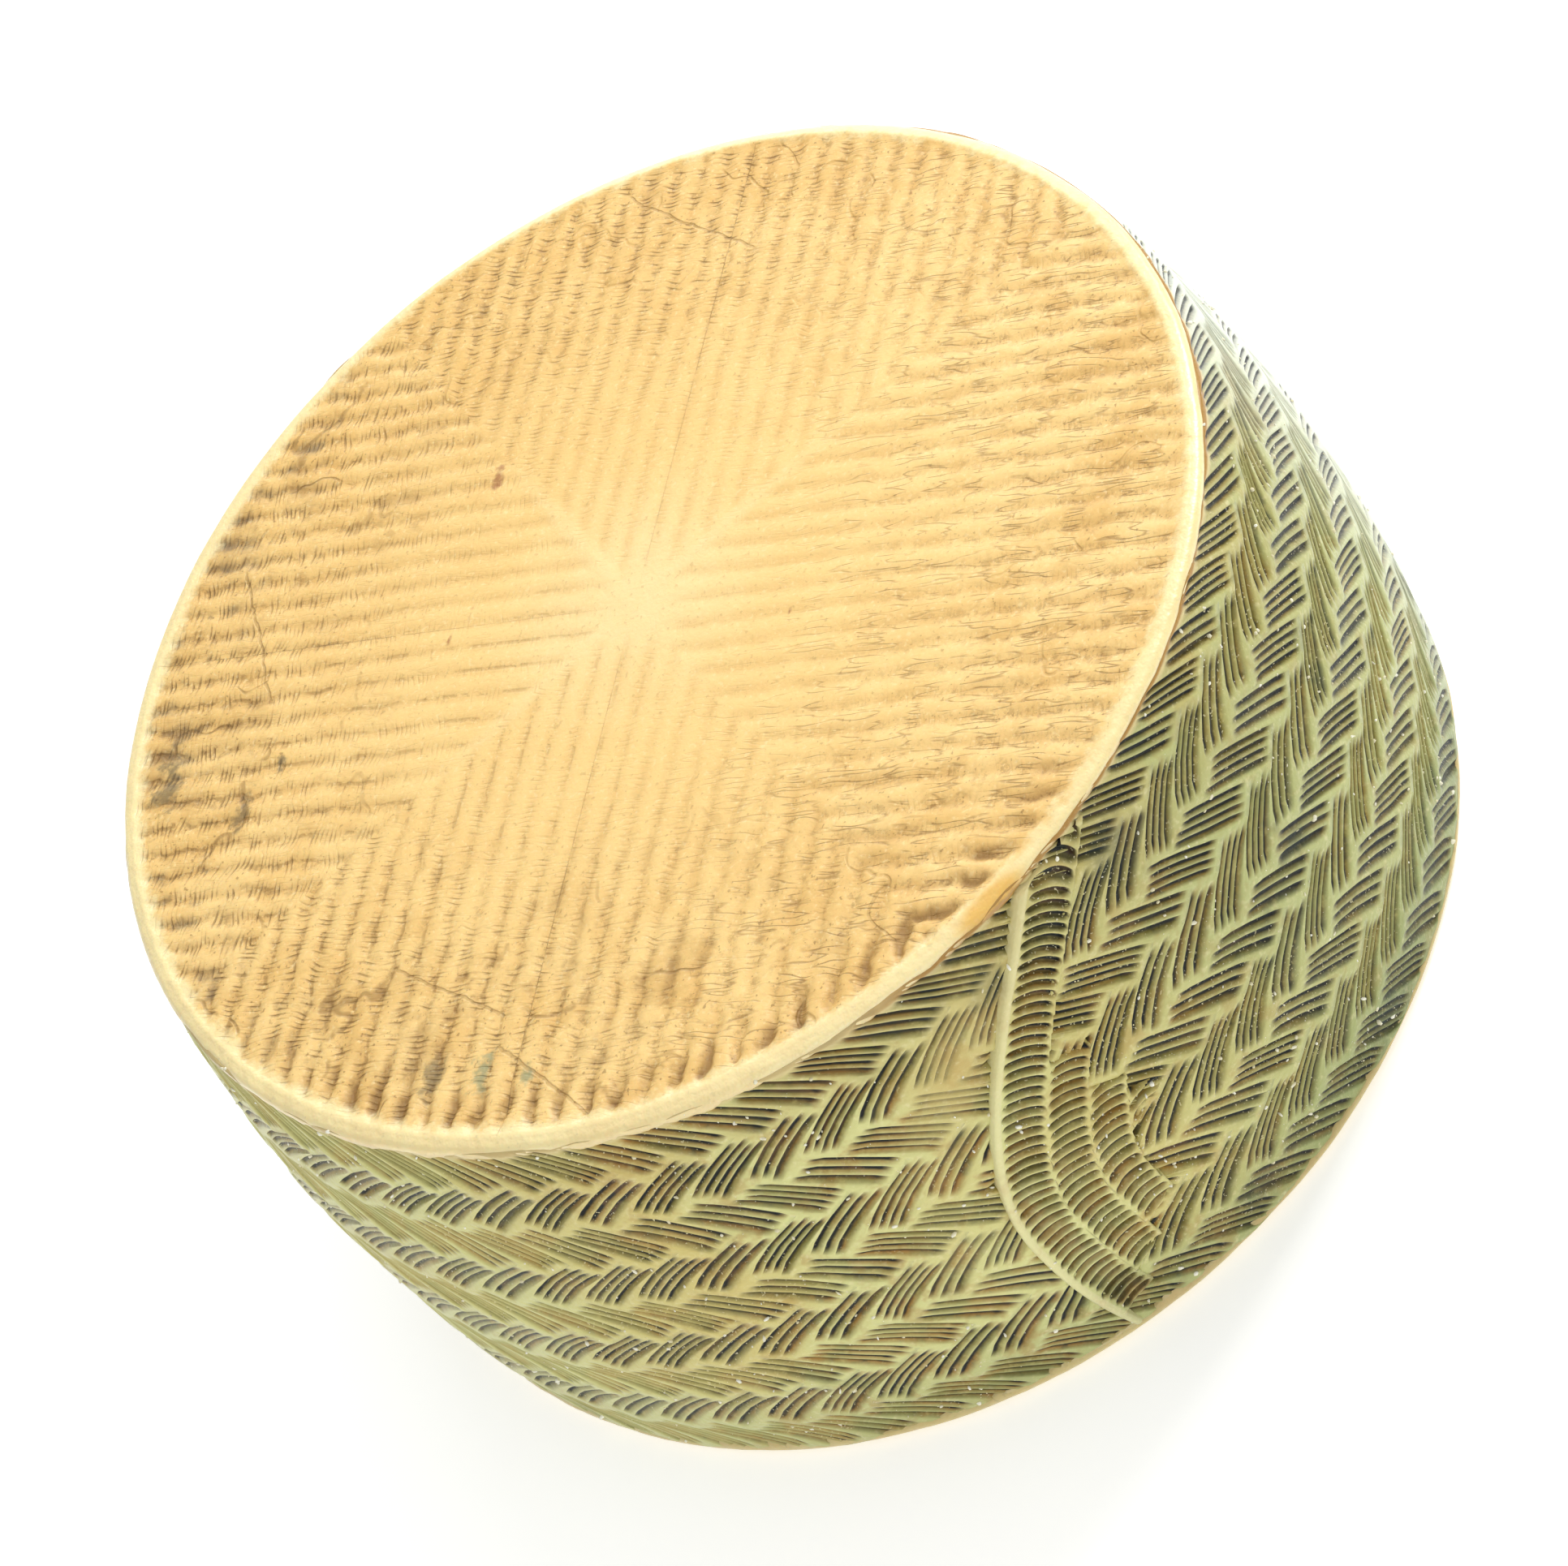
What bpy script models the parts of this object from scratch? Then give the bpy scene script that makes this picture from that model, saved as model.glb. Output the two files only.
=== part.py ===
"""A pressed sheep's-milk cheese wheel, shaped in a plaited grass band between two carved boards.

The wheel is one solid. It lies on its lower face, with its axis along +Z, its origin at the middle
of that face, and the seam where the band's ends overlapped on its -Y side. All lengths are in
metres and all angles in degrees. Run it with: blender --background --python part.py
"""

import math

import bmesh
import bpy
from mathutils import Vector

# Driving dimensions
HEIGHT = 0.0895  # from the lower pressed face to the upper one
TOP_RIM_RADIUS = 0.0920
BASE_RIM_RADIUS = 0.0977
BELLY = 0.0042  # how far the side swells past a straight line between its two rims
BELLY_FULLNESS = 0.8  # below 1, the swell starts more steeply at the rims

LIP_HEIGHT = 0.0022  # the smooth bead that stood above the band, on both rims
LIP_ROUND = 0.0018
LIP_STEPS = 4

ROW_COUNT = 9  # the plait's rows, parallel to the rims
ROW_CROWN = 0.0005  # how far a row's middle stands out
ROW_VALLEY = 0.0006  # how deep the crease between two rows is

SEAM_FAR_ANGLE = -100.3  # where the seam leans furthest round the wheel, from +X
SEAM_LEAN = 20.9  # how far it swings back from there by the upper rim
SEAM_RETURN = 2.6  # and by the lower rim
SEAM_TURN = 0.62  # how far down the side it turns, as a share of the height
SEAM_TOP, SEAM_END = 0.035, 0.955  # where its ridge starts and stops, as shares of the height
SEAM_RIDGE_RADIUS = 0.0019
SEAM_RIDGE_SUNK = 0.0007  # how far the ridge's centre line lies under the side
SEAM_STEPS = 26
SEAM_SIDES = 8

SEGMENTS = 96  # round the wheel

RIND_COLOUR = (0.62, 0.50, 0.26, 1.0)
RIND_ROUGHNESS = 0.45


def side_radius(z: float) -> float:
    """The side's radius at height z, without its rows or lips."""
    down = min(max(1 - z / HEIGHT, 0.0), 1.0)
    straight = TOP_RIM_RADIUS + (BASE_RIM_RADIUS - TOP_RIM_RADIUS) * down
    return straight + BELLY * math.sin(math.pi * down) ** BELLY_FULLNESS


def seam_angle(down: float) -> float:
    """The seam's angle round the wheel, at a share down its side from the upper rim."""
    if down < SEAM_TURN:
        return SEAM_FAR_ANGLE + SEAM_LEAN * ((SEAM_TURN - down) / SEAM_TURN) ** 2
    return SEAM_FAR_ANGLE + SEAM_RETURN * ((down - SEAM_TURN) / (1 - SEAM_TURN)) ** 2


def lip_outline(rim: float, face_z: float, inward: float) -> list[tuple[float, float]]:
    """The quarter round of a lip, from its pressed face to its outside.

    inward is the way from that face into the wheel along Z: -1 at the top, 1 at the base.
    """
    points = []
    for step in range(LIP_STEPS + 1):
        turn = math.radians(90 * step / LIP_STEPS)
        radius = rim - LIP_ROUND * (1 - math.sin(turn))
        points.append((radius, face_z + inward * LIP_ROUND * (1 - math.cos(turn))))
    return points


def row_outline() -> list[tuple[float, float]]:
    """The side between the two lips: a crease, then each row's crown and the crease under it."""
    top = HEIGHT - LIP_HEIGHT
    pitch = (top - LIP_HEIGHT) / ROW_COUNT
    points = [(side_radius(top) - ROW_VALLEY, top)]
    for row in range(ROW_COUNT):
        middle = top - (row + 0.5) * pitch
        crease = top - (row + 1) * pitch
        points.append((side_radius(middle) + ROW_CROWN, middle))
        points.append((side_radius(crease) - ROW_VALLEY, crease))
    return points


def turned_wheel() -> bpy.types.Object:
    """The wheel's body: its outline turned about Z, with a flat face at each end."""
    outline = lip_outline(TOP_RIM_RADIUS, HEIGHT, -1)
    outline += row_outline()
    outline += reversed(lip_outline(BASE_RIM_RADIUS, 0.0, 1))

    bm = bmesh.new()
    verts = [bm.verts.new((radius, 0.0, z)) for radius, z in outline]
    edges = [bm.edges.new(pair) for pair in zip(verts, verts[1:])]
    bmesh.ops.spin(
        bm,
        geom=verts + edges,
        cent=(0, 0, 0),
        axis=(0, 0, 1),
        angle=math.tau,
        steps=SEGMENTS,
        use_merge=True,
    )
    bmesh.ops.remove_doubles(bm, verts=bm.verts, dist=1e-6)
    bmesh.ops.holes_fill(bm, edges=bm.edges, sides=0)
    bmesh.ops.recalc_face_normals(bm, faces=bm.faces)
    return add_object("cheese_wheel", bm)


def seam_ridge() -> bpy.types.Object:
    """The ridge that rose between the band's overlapping ends, as a round bar along the seam."""
    path = []
    for step in range(SEAM_STEPS + 1):
        down = SEAM_TOP + (SEAM_END - SEAM_TOP) * step / SEAM_STEPS
        z = HEIGHT * (1 - down)
        turn = math.radians(seam_angle(down))
        radius = side_radius(z) - SEAM_RIDGE_SUNK
        path.append(Vector((radius * math.cos(turn), radius * math.sin(turn), z)))

    bm = bmesh.new()
    rings = []
    for index, centre in enumerate(path):
        along = (path[min(index + 1, SEAM_STEPS)] - path[max(index - 1, 0)]).normalized()
        out = Vector((centre.x, centre.y, 0.0))
        out = (out - along * out.dot(along)).normalized()
        across = along.cross(out)
        ring = []
        for side in range(SEAM_SIDES):
            turn = math.tau * side / SEAM_SIDES
            offset = out * math.cos(turn) + across * math.sin(turn)
            ring.append(bm.verts.new(centre + SEAM_RIDGE_RADIUS * offset))
        rings.append(ring)
    for upper, lower in zip(rings, rings[1:]):
        for side in range(SEAM_SIDES):
            after = (side + 1) % SEAM_SIDES
            bm.faces.new((upper[side], upper[after], lower[after], lower[side]))
    bm.faces.new(rings[0])
    bm.faces.new(rings[-1])
    bmesh.ops.recalc_face_normals(bm, faces=bm.faces)
    ridge = add_object("seam_ridge_guide", bm)
    ridge.hide_render = True
    ridge.display_type = "WIRE"
    return ridge


def add_object(name: str, bm: bmesh.types.BMesh) -> bpy.types.Object:
    """Turns a finished bmesh into an object in the scene."""
    mesh = bpy.data.meshes.new(name)
    bm.to_mesh(mesh)
    bm.free()
    mesh.shade_smooth()
    mesh.set_sharp_from_angle(angle=math.radians(40))
    made = bpy.data.objects.new(name, mesh)
    bpy.context.scene.collection.objects.link(made)
    return made


def rind_material() -> bpy.types.Material:
    """The pressed, waxy rind."""
    material = bpy.data.materials.new("rind")
    material.use_nodes = True
    shader = material.node_tree.nodes["Principled BSDF"]
    shader.inputs["Base Color"].default_value = RIND_COLOUR
    shader.inputs["Roughness"].default_value = RIND_ROUGHNESS
    shader.inputs["Metallic"].default_value = 0.0
    return material


def build() -> None:
    """Clears the scene and models the wheel."""
    for old in list(bpy.data.objects):
        bpy.data.objects.remove(old)
    wheel = turned_wheel()
    wheel.data.materials.append(rind_material())
    join = wheel.modifiers.new("seam", "BOOLEAN")
    join.operation = "UNION"
    join.solver = "EXACT"
    join.object = seam_ridge()


build()
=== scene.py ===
"""The looks of a pressed sheep's-milk cheese wheel.

The wheel was pressed between two carved boards, inside a band plaited from grass. The band left nine
rows of herringbone and a stitched seam on the side, the boards left a flower of grooves on each face,
and the whey that squeezed out between them left a smooth lip round both rims. Each of those is a class
here: it makes a plain blank, and a Geometry Nodes tree presses the pattern into it by a rule that the
rind's material reads as well.
"""

import logging
import math
from dataclasses import dataclass, field
from enum import Enum
from typing import Callable, Optional, Union

import bmesh
import bpy
import numpy as np
from mathutils import Matrix, Vector


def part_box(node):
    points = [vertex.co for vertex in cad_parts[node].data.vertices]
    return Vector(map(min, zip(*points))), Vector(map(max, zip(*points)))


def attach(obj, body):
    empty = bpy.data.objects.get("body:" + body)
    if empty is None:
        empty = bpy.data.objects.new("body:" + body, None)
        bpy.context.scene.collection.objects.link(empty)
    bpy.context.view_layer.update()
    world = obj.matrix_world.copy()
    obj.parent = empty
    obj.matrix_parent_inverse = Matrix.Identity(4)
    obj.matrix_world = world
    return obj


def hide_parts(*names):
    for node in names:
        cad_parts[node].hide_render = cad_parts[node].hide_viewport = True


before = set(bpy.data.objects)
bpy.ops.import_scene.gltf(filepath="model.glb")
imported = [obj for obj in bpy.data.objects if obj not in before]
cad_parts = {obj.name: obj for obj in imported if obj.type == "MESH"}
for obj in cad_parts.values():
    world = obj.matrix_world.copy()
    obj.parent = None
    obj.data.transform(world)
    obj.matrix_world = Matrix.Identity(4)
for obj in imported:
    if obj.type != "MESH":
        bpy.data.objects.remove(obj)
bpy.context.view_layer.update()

NODE = "cheese_wheel"
MM = 0.001

log = logging.getLogger("cheese_wheel")


# ---------------------------------------------------------------------------------- node arithmetic


def arithmetic(operation: str, swapped: bool = False) -> Callable[["Term", "Amount"], "Term"]:
    """Makes a Term's method for one operation.

    Args:
        operation: the Math node's operation.
        swapped: True if the term is its second side.

    Returns:
        The method.
    """

    def method(self: "Term", other: "Amount") -> "Term":
        """Adds the operation's node."""
        sides = (other, self) if swapped else (self, other)
        return self.graph.maths(operation, *sides)

    return method


@dataclass
class Term:
    """One number or vector flowing through a node tree, which plain arithmetic adds nodes to."""

    graph: "Graph"
    socket: bpy.types.NodeSocket

    __add__ = arithmetic("ADD")
    __radd__ = arithmetic("ADD", swapped=True)
    __sub__ = arithmetic("SUBTRACT")
    __rsub__ = arithmetic("SUBTRACT", swapped=True)
    __mul__ = arithmetic("MULTIPLY")
    __truediv__ = arithmetic("DIVIDE")
    __pow__ = arithmetic("POWER")


Amount = Union[Term, float]
Colour = tuple[float, float, float, float]


def paint(red: int, green: int, blue: int) -> Colour:
    """A paint chip's colour as a shader wants it.

    Args:
        red: red on the chip, from 0 to 255.
        green: green on the chip.
        blue: blue on the chip.

    Returns:
        The linear colour, with full alpha.
    """
    linear = [
        chip / 12.92 if chip <= 0.04045 else ((chip + 0.055) / 1.055) ** 2.4
        for chip in (red / 255, green / 255, blue / 255)
    ]
    return (*linear, 1.0)


@dataclass
class Graph:
    """Writes formulas into a geometry or shader node tree."""

    tree: bpy.types.NodeTree

    def node(
        self,
        kind: str,
        values: Optional[dict[Union[int, str], object]] = None,
        **settings: object,
    ) -> bpy.types.Node:
        """Adds a node, sets its own properties and feeds its inputs.

        Args:
            kind: the node's type name.
            values: what its inputs get, by name or number.
            settings: properties to set on it.

        Returns:
            The new node.
        """
        made = self.tree.nodes.new(kind)
        for name, setting in settings.items():
            setattr(made, name, setting)
        self.fill(made, values or {})
        return made

    def fill(self, node: bpy.types.Node, values: dict[Union[int, str], object]) -> None:
        """Feeds several inputs of a node, by name or number."""
        for name, value in values.items():
            self.feed(node.inputs[name], value)

    def feed(self, socket: bpy.types.NodeSocket, value: object) -> None:
        """Links a term to an input, or sets a plain value on it.

        Args:
            socket: the input.
            value: the term, or the value.
        """
        if isinstance(value, Term):
            self.tree.links.new(value.socket, socket)
        else:
            socket.default_value = value

    def term(self, node: bpy.types.Node, output: Union[int, str] = 0) -> Term:
        """Wraps a node's output."""
        return Term(self, node.outputs[output])

    def maths(self, operation: str, *values: Amount) -> Term:
        """Adds a Math node."""
        return self.term(self.node("ShaderNodeMath", dict(enumerate(values)), operation=operation))

    def clamp(self, value: Amount, low: float = 0.0, high: float = 1.0) -> Term:
        """Holds a value between two limits."""
        return self.maths("MINIMUM", self.maths("MAXIMUM", value, low), high)

    def step(self, value: Amount, low: Amount, high: Amount) -> Term:
        """Rises smoothly from 0 at low to 1 at high.

        Args:
            value: what is measured.
            low: where the rise starts.
            high: where it ends, which may be below low.

        Returns:
            The rise, from 0 to 1.
        """
        edges = {0: value, 1: low, 2: high}
        return self.term(self.node("ShaderNodeMapRange", edges, interpolation_type="SMOOTHSTEP"))

    def hump(self, value: Amount, low: Amount, full: Amount, past: Amount, high: Amount) -> Term:
        """Rises from low to full, stays, and falls from past to high."""
        return self.step(value, low, full) * (1.0 - self.step(value, past, high))

    def lerp(self, low: Amount, high: Amount, share: Term) -> Term:
        """Goes from low to high by a share."""
        return share * (high - low) + low

    def wave(self, turns: Amount) -> Term:
        """A cosine wave from 0 to 1, whose tops are at whole turns."""
        return self.maths("COSINE", turns * math.tau) * 0.5 + 0.5

    def vector(self, x: Amount, y: Amount, z: Amount = 0.0) -> Term:
        """Puts three numbers into a vector."""
        return self.term(self.node("ShaderNodeCombineXYZ", {0: x, 1: y, 2: z}))

    def split(self, vector: Term) -> tuple[Term, Term, Term]:
        """Takes a vector's three numbers."""
        made = self.node("ShaderNodeSeparateXYZ", {0: vector})
        return self.term(made, 0), self.term(made, 1), self.term(made, 2)

    def noise(self, place: Term, scale: float = 1.0, detail: float = 2.0, rough: float = 0.5) -> Term:
        """Soft noise round 0.5.

        Args:
            place: where it is read.
            scale: lumps for each unit of place.
            detail: how many finer layers it has.
            rough: how strong those are.

        Returns:
            The noise, mostly from 0.2 to 0.8.
        """
        values = {"Vector": place, "Scale": scale, "Detail": detail, "Roughness": rough}
        return self.term(self.node("ShaderNodeTexNoise", values, noise_dimensions="3D"))

    def chance(self, place: Term) -> tuple[Term, Term, Term]:
        """Three random numbers from 0 to 1 for each place."""
        made = self.node("ShaderNodeTexWhiteNoise", {"Vector": place}, noise_dimensions="3D")
        return self.split(self.term(made, "Color"))

    def blend(self, under: Union[Term, Colour], over: Union[Term, Colour], share: Amount) -> Term:
        """Lays one colour over another.

        Args:
            under: the colour below.
            over: the colour on top.
            share: how much of the top one shows, from 0 to 1.

        Returns:
            The blended colour.
        """
        made = self.node("ShaderNodeMix", data_type="RGBA", clamp_factor=True)
        self.fill(made, {0: share, 6: under, 7: over})
        return self.term(made, 2)

    def layers(self, under: Union[Term, Colour], *films: tuple[Union[Term, Colour], Amount]) -> Term:
        """Lays several colours over one another, each by its own share.

        Args:
            under: the colour at the bottom.
            films: each colour over it, with how much of it shows.

        Returns:
            The blended colour.
        """
        for film, share in films:
            under = self.blend(under, film, share)
        return under

    def place(self) -> Term:
        """Where a material is read, in the object's own coordinates."""
        return self.term(self.node("ShaderNodeTexCoord"), "Object")

    def position(self) -> Term:
        """Where a Geometry Nodes tree is working."""
        return self.term(self.node("GeometryNodeInputPosition"))


# ------------------------------------------------------------------------------------- the form


@dataclass(frozen=True)
class WheelForm:
    """The wheel's smooth shape, from the frame: heights from the table and radii from its axis."""

    height: float
    widest: float  # the widest that the side gets, over its rows
    crown: float = 0.5 * MM  # of a plait row, past the smooth side
    top_rim_share: float = 0.9243  # of the smooth side's widest radius
    base_rim_share: float = 0.9815
    belly_share: float = 0.0422
    fullness: float = 0.8
    lip_height: float = 2.2 * MM
    seam_far: float = -100.3  # degrees round from +X, where the seam leans furthest
    seam_lean: float = 20.9
    seam_return: float = 2.6
    seam_turn: float = 0.62

    @classmethod
    def from_frame(cls) -> "WheelForm":
        """Reads the wheel's size from its CAD node."""
        low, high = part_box(NODE)
        return cls(height=high[2] - low[2], widest=(high[0] - low[0]) / 2)

    @property
    def smooth_widest(self) -> float:
        """The smooth side's widest radius."""
        return self.widest - self.crown

    @property
    def top_rim(self) -> float:
        """The upper rim's radius."""
        return self.smooth_widest * self.top_rim_share

    @property
    def base_rim(self) -> float:
        """The lower rim's radius."""
        return self.smooth_widest * self.base_rim_share

    def side_radius(self, z: np.ndarray) -> np.ndarray:
        """The smooth side's radius at each height.

        Args:
            z: the heights.

        Returns:
            The radii.
        """
        down = np.clip(1 - z / self.height, 0, 1)
        straight = self.top_rim + (self.base_rim - self.top_rim) * down
        swell = self.smooth_widest * self.belly_share
        return straight + swell * np.sin(np.pi * down) ** self.fullness

    def seam_angle(self, z: np.ndarray) -> np.ndarray:
        """The seam's place round the wheel at each height, in radians.

        Args:
            z: the heights.

        Returns:
            The angles from +X.
        """
        down = 1 - z / self.height
        above = self.seam_lean * (np.clip(self.seam_turn - down, 0, None) / self.seam_turn) ** 2
        below = self.seam_return * (np.clip(down - self.seam_turn, 0, None) / (1 - self.seam_turn)) ** 2
        return np.radians(self.seam_far + above + below)

    def seam_distance(self, angle: np.ndarray, z: np.ndarray) -> np.ndarray:
        """How far right of the seam a place on the side is, in metres along the side."""
        turn = np.angle(np.exp(1j * (angle - self.seam_angle(z))))
        return turn * self.side_radius(z)


# ----------------------------------------------------------------------------- the pressing rules


@dataclass(frozen=True)
class Stroke:
    """The cross-section of a groove that one straw pressed: a sharp upper wall and a floor that rises."""

    wall: float = 0.15  # how wide the wall is, as a share of the groove
    flat: float = 0.20  # where the floor starts to rise
    reach: float = 0.96  # and where it meets the crest

    def profile(self, graph: Graph, across: Term, extra: Amount = 0.0) -> Term:
        """The groove's depth from 0 to 1, by the share of its width from the upper wall."""
        return graph.step(across, 0.0, self.wall) * (1.0 - graph.step(across, self.flat, extra + self.reach))

    def line(self, graph: Graph, across: Term) -> Term:
        """The painted shade that lies along the foot of the wall, from 0 to 1."""
        return graph.hump(across, 0.0, 0.05, 0.26, 0.54)

    def stain(self, graph: Graph, across: Term, extra: Amount = 0.0) -> Term:
        """The stain on the floor, from 0 to 1."""
        return graph.step(across, 0.0, 0.06) * (1.0 - graph.step(across, 0.25, extra + self.reach)) ** 0.75


@dataclass(frozen=True)
class PlaitRule:
    """How a plait of three-straw bundles marks the side, in blocks round it and rows down it."""

    rows: int = 9
    blocks: int = 66
    fewest_straws: int = 3  # in a bundle; the others have one more
    thicker_bundles: float = 0.5  # the share of those others
    first: float = 0.09  # from a block's upper edge to its first groove, in blocks
    run: float = 1.36  # how far a groove runs sideways in one row, in blocks
    interlock: float = 0.140  # how far bundles reach into the next row, in rows
    falling_arch: float = 0.035  # how far a groove bows, in blocks, in rows that fall to the right
    rising_arch: float = 0.13  # and in rows that rise to the right
    groove_depth: float = 0.62 * MM
    scoop_depth: float = 0.22 * MM  # how much deeper a bundle's last groove is, where it dips under
    channel_depth: float = 0.30 * MM
    stroke: Stroke = Stroke()

    def marks(self, graph: Graph, blocks: Term, rows: Term) -> dict[str, Term]:
        """Works out the plait's marks at a place on the side.

        Args:
            graph: the tree to write into.
            blocks: the place round the wheel, along the grooves, in blocks.
            rows: the place down the side, in rows.

        Returns:
            groove, line, stain, last and channel, from 0 to 1.
        """
        row = graph.clamp(graph.maths("FLOOR", rows), 0.0, self.rows - 1.0)
        along = rows - row
        rising = graph.maths("MODULO", row, 2.0)
        swing = self.saw(graph, blocks) * (self.interlock * self.run)
        turns = blocks + swing + rising * (0.5 - swing * 2.0)
        block = graph.maths("FLOOR", turns)
        within = turns - block
        lower = 1.0 - within + rising * (within * 2.0 - 1.0)
        draw, _, _ = graph.chance(graph.vector(block, row, 11.0))
        thick = graph.maths("LESS_THAN", draw, self.thicker_bundles)
        straws = thick + self.fewest_straws
        count = (lower - self.first) * straws / (1.0 - self.first)
        which = graph.maths("FLOOR", graph.clamp(count, 0.0, straws - 0.001))
        across = count - which
        last = graph.maths("GREATER_THAN", which, straws - 1.5)
        first, second, shade = graph.chance(graph.vector(block, row, which))
        start = first * 0.07 + 0.01
        stop = 0.99 - second * 0.07
        ends = graph.hump(along, start, start + 0.12, stop - 0.14, stop)
        wide = last * 0.06
        return {
            "groove": self.stroke.profile(graph, across, wide) * ends * (shade * 0.36 + 0.64),
            "line": self.stroke.line(graph, across) * ends * (second * 0.35 + 0.65),
            "stain": self.stroke.stain(graph, across, wide) * graph.maths("POWER", ends, 0.7),
            "last": last,
            "channel": graph.maths("SINE", graph.clamp(along) * math.pi),
        }

    def saw(self, graph: Graph, blocks: Term) -> Term:
        """How the staircase between two rows swings, from -1 to 1."""
        turn = graph.maths("FRACT", blocks + 0.25)
        return graph.maths("ABSOLUTE", turn * 2.0 - 1.0) * 2.0 - 1.0

    def depth(self, marks: dict[str, Term]) -> Term:
        """How deep the marks go, in metres."""
        deep = marks["groove"] * (marks["last"] * self.scoop_depth + self.groove_depth)
        return deep + marks["channel"] * self.channel_depth


@dataclass(frozen=True)
class StitchRule:
    """How the band's overlapping ends mark the seam: a ridge, then stitched bands right of it."""

    band: float = 6.7  # a band's width, in mm
    pitch: float = 1.94  # from stitch to stitch, in mm
    arch: float = 1.25  # how far a stitch rises between its ends, in mm
    ridge_half: float = 0.68  # in mm
    ridge_height: float = 0.50 * MM
    stitch_depth: float = 0.80 * MM
    proud: float = 0.25 * MM  # how far the bands stand over the side
    buried: float = -3.2 * MM  # where the patch lies under the side
    starts: tuple[float, ...] = (-0.05, 0.295, 0.395, 0.462)  # of each band, as shares down the side
    stops: tuple[float, ...] = (0.93, 0.845, 0.765, 0.560)
    stroke: Stroke = Stroke(wall=0.30, flat=0.40, reach=0.97)

    def marks(self, graph: Graph, away: Term, along: Term, down: Term) -> dict[str, Term]:
        """Works out the seam's marks.

        Args:
            graph: the tree to write into.
            away: the distance right of the ridge's middle, in mm.
            along: the distance down the seam, in mm.
            down: the share down the side.

        Returns:
            ridge, groove, line, stain, last, pale and present, from 0 to 1.
        """
        wander = graph.noise(graph.vector(away * 0.16, along * 0.12, 1.3), detail=1.0) - 0.5
        from_ridge = (away - self.ridge_half) / self.band + wander * 0.04
        band = graph.clamp(graph.maths("FLOOR", from_ridge), 0.0, len(self.starts) - 1.0)
        across = from_ridge - band
        climb = graph.maths("MAXIMUM", 1.0 - across / 0.55, 0.0) ** 2.0
        drop = graph.maths("MAXIMUM", across / 0.55 - 1.0, 0.0) ** 2.0
        turns = (along - (climb + drop * 0.9) * self.arch) / self.pitch + band * 0.37 + wander * 0.35
        stitch = graph.maths("FLOOR", turns)
        within = turns - stitch
        first, second, shade = graph.chance(graph.vector(stitch, band, 5.0))
        tip = (first - 0.5) * 0.08 + graph.maths("ABSOLUTE", within - 0.35) * 0.16
        ends = graph.hump(across, tip, tip + 0.14, 0.82 - tip, 1.0 - tip)
        starts = self.by_band(graph, band, self.starts)
        stops = self.by_band(graph, band, self.stops)
        slant = across * 0.035 + (second - 0.5) * 0.003
        there = graph.step(down, starts + slant, starts + slant + 0.014)
        there = there * (1.0 - graph.step(down, stops - slant - 0.014, stops - slant))
        right_of_ridge = graph.step(away, -self.ridge_half - 0.35, -self.ridge_half + 0.25)
        last = 1.0 - graph.step(from_ridge, len(self.starts) - 0.12, len(self.starts) + 0.02)
        ridge = 1.0 - graph.clamp(away / (self.ridge_half + 0.15), -1.0, 1.0) ** 2.0
        on_ridge = 1.0 - graph.step(away, self.ridge_half - 0.1, self.ridge_half + 0.25)
        off_ridge = ends * (1.0 - on_ridge)
        present = graph.maths("MAXIMUM", there * last, on_ridge) * right_of_ridge
        return {
            "ridge": graph.maths("MAXIMUM", ridge, 0.0),
            "groove": self.stroke.profile(graph, within) * off_ridge * (shade * 0.35 + 0.65),
            "line": self.stroke.line(graph, within) * off_ridge,
            "stain": self.stroke.stain(graph, within) * graph.maths("POWER", off_ridge, 0.7),
            "last": graph.step(shade, 0.45, 0.8),
            "pale": on_ridge,
            "present": present,
        }

    def by_band(self, graph: Graph, band: Term, values: tuple[float, ...]) -> Term:
        """Picks each band's own value.

        Args:
            graph: the tree to write into.
            band: the band's number, from 0.
            values: one value for each band.

        Returns:
            The value of the band.
        """
        total = values[0]
        for number in range(1, len(values)):
            reached = graph.maths("GREATER_THAN", band, number - 0.5)
            total = total + reached * (values[number] - values[number - 1])
        return total

    def height(self, graph: Graph, marks: dict[str, Term]) -> Term:
        """How far the seam stands over the smooth side, in metres."""
        over = marks["ridge"] * self.ridge_height - marks["groove"] * self.stitch_depth + self.proud
        return graph.lerp(self.buried, over, marks["present"])


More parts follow.
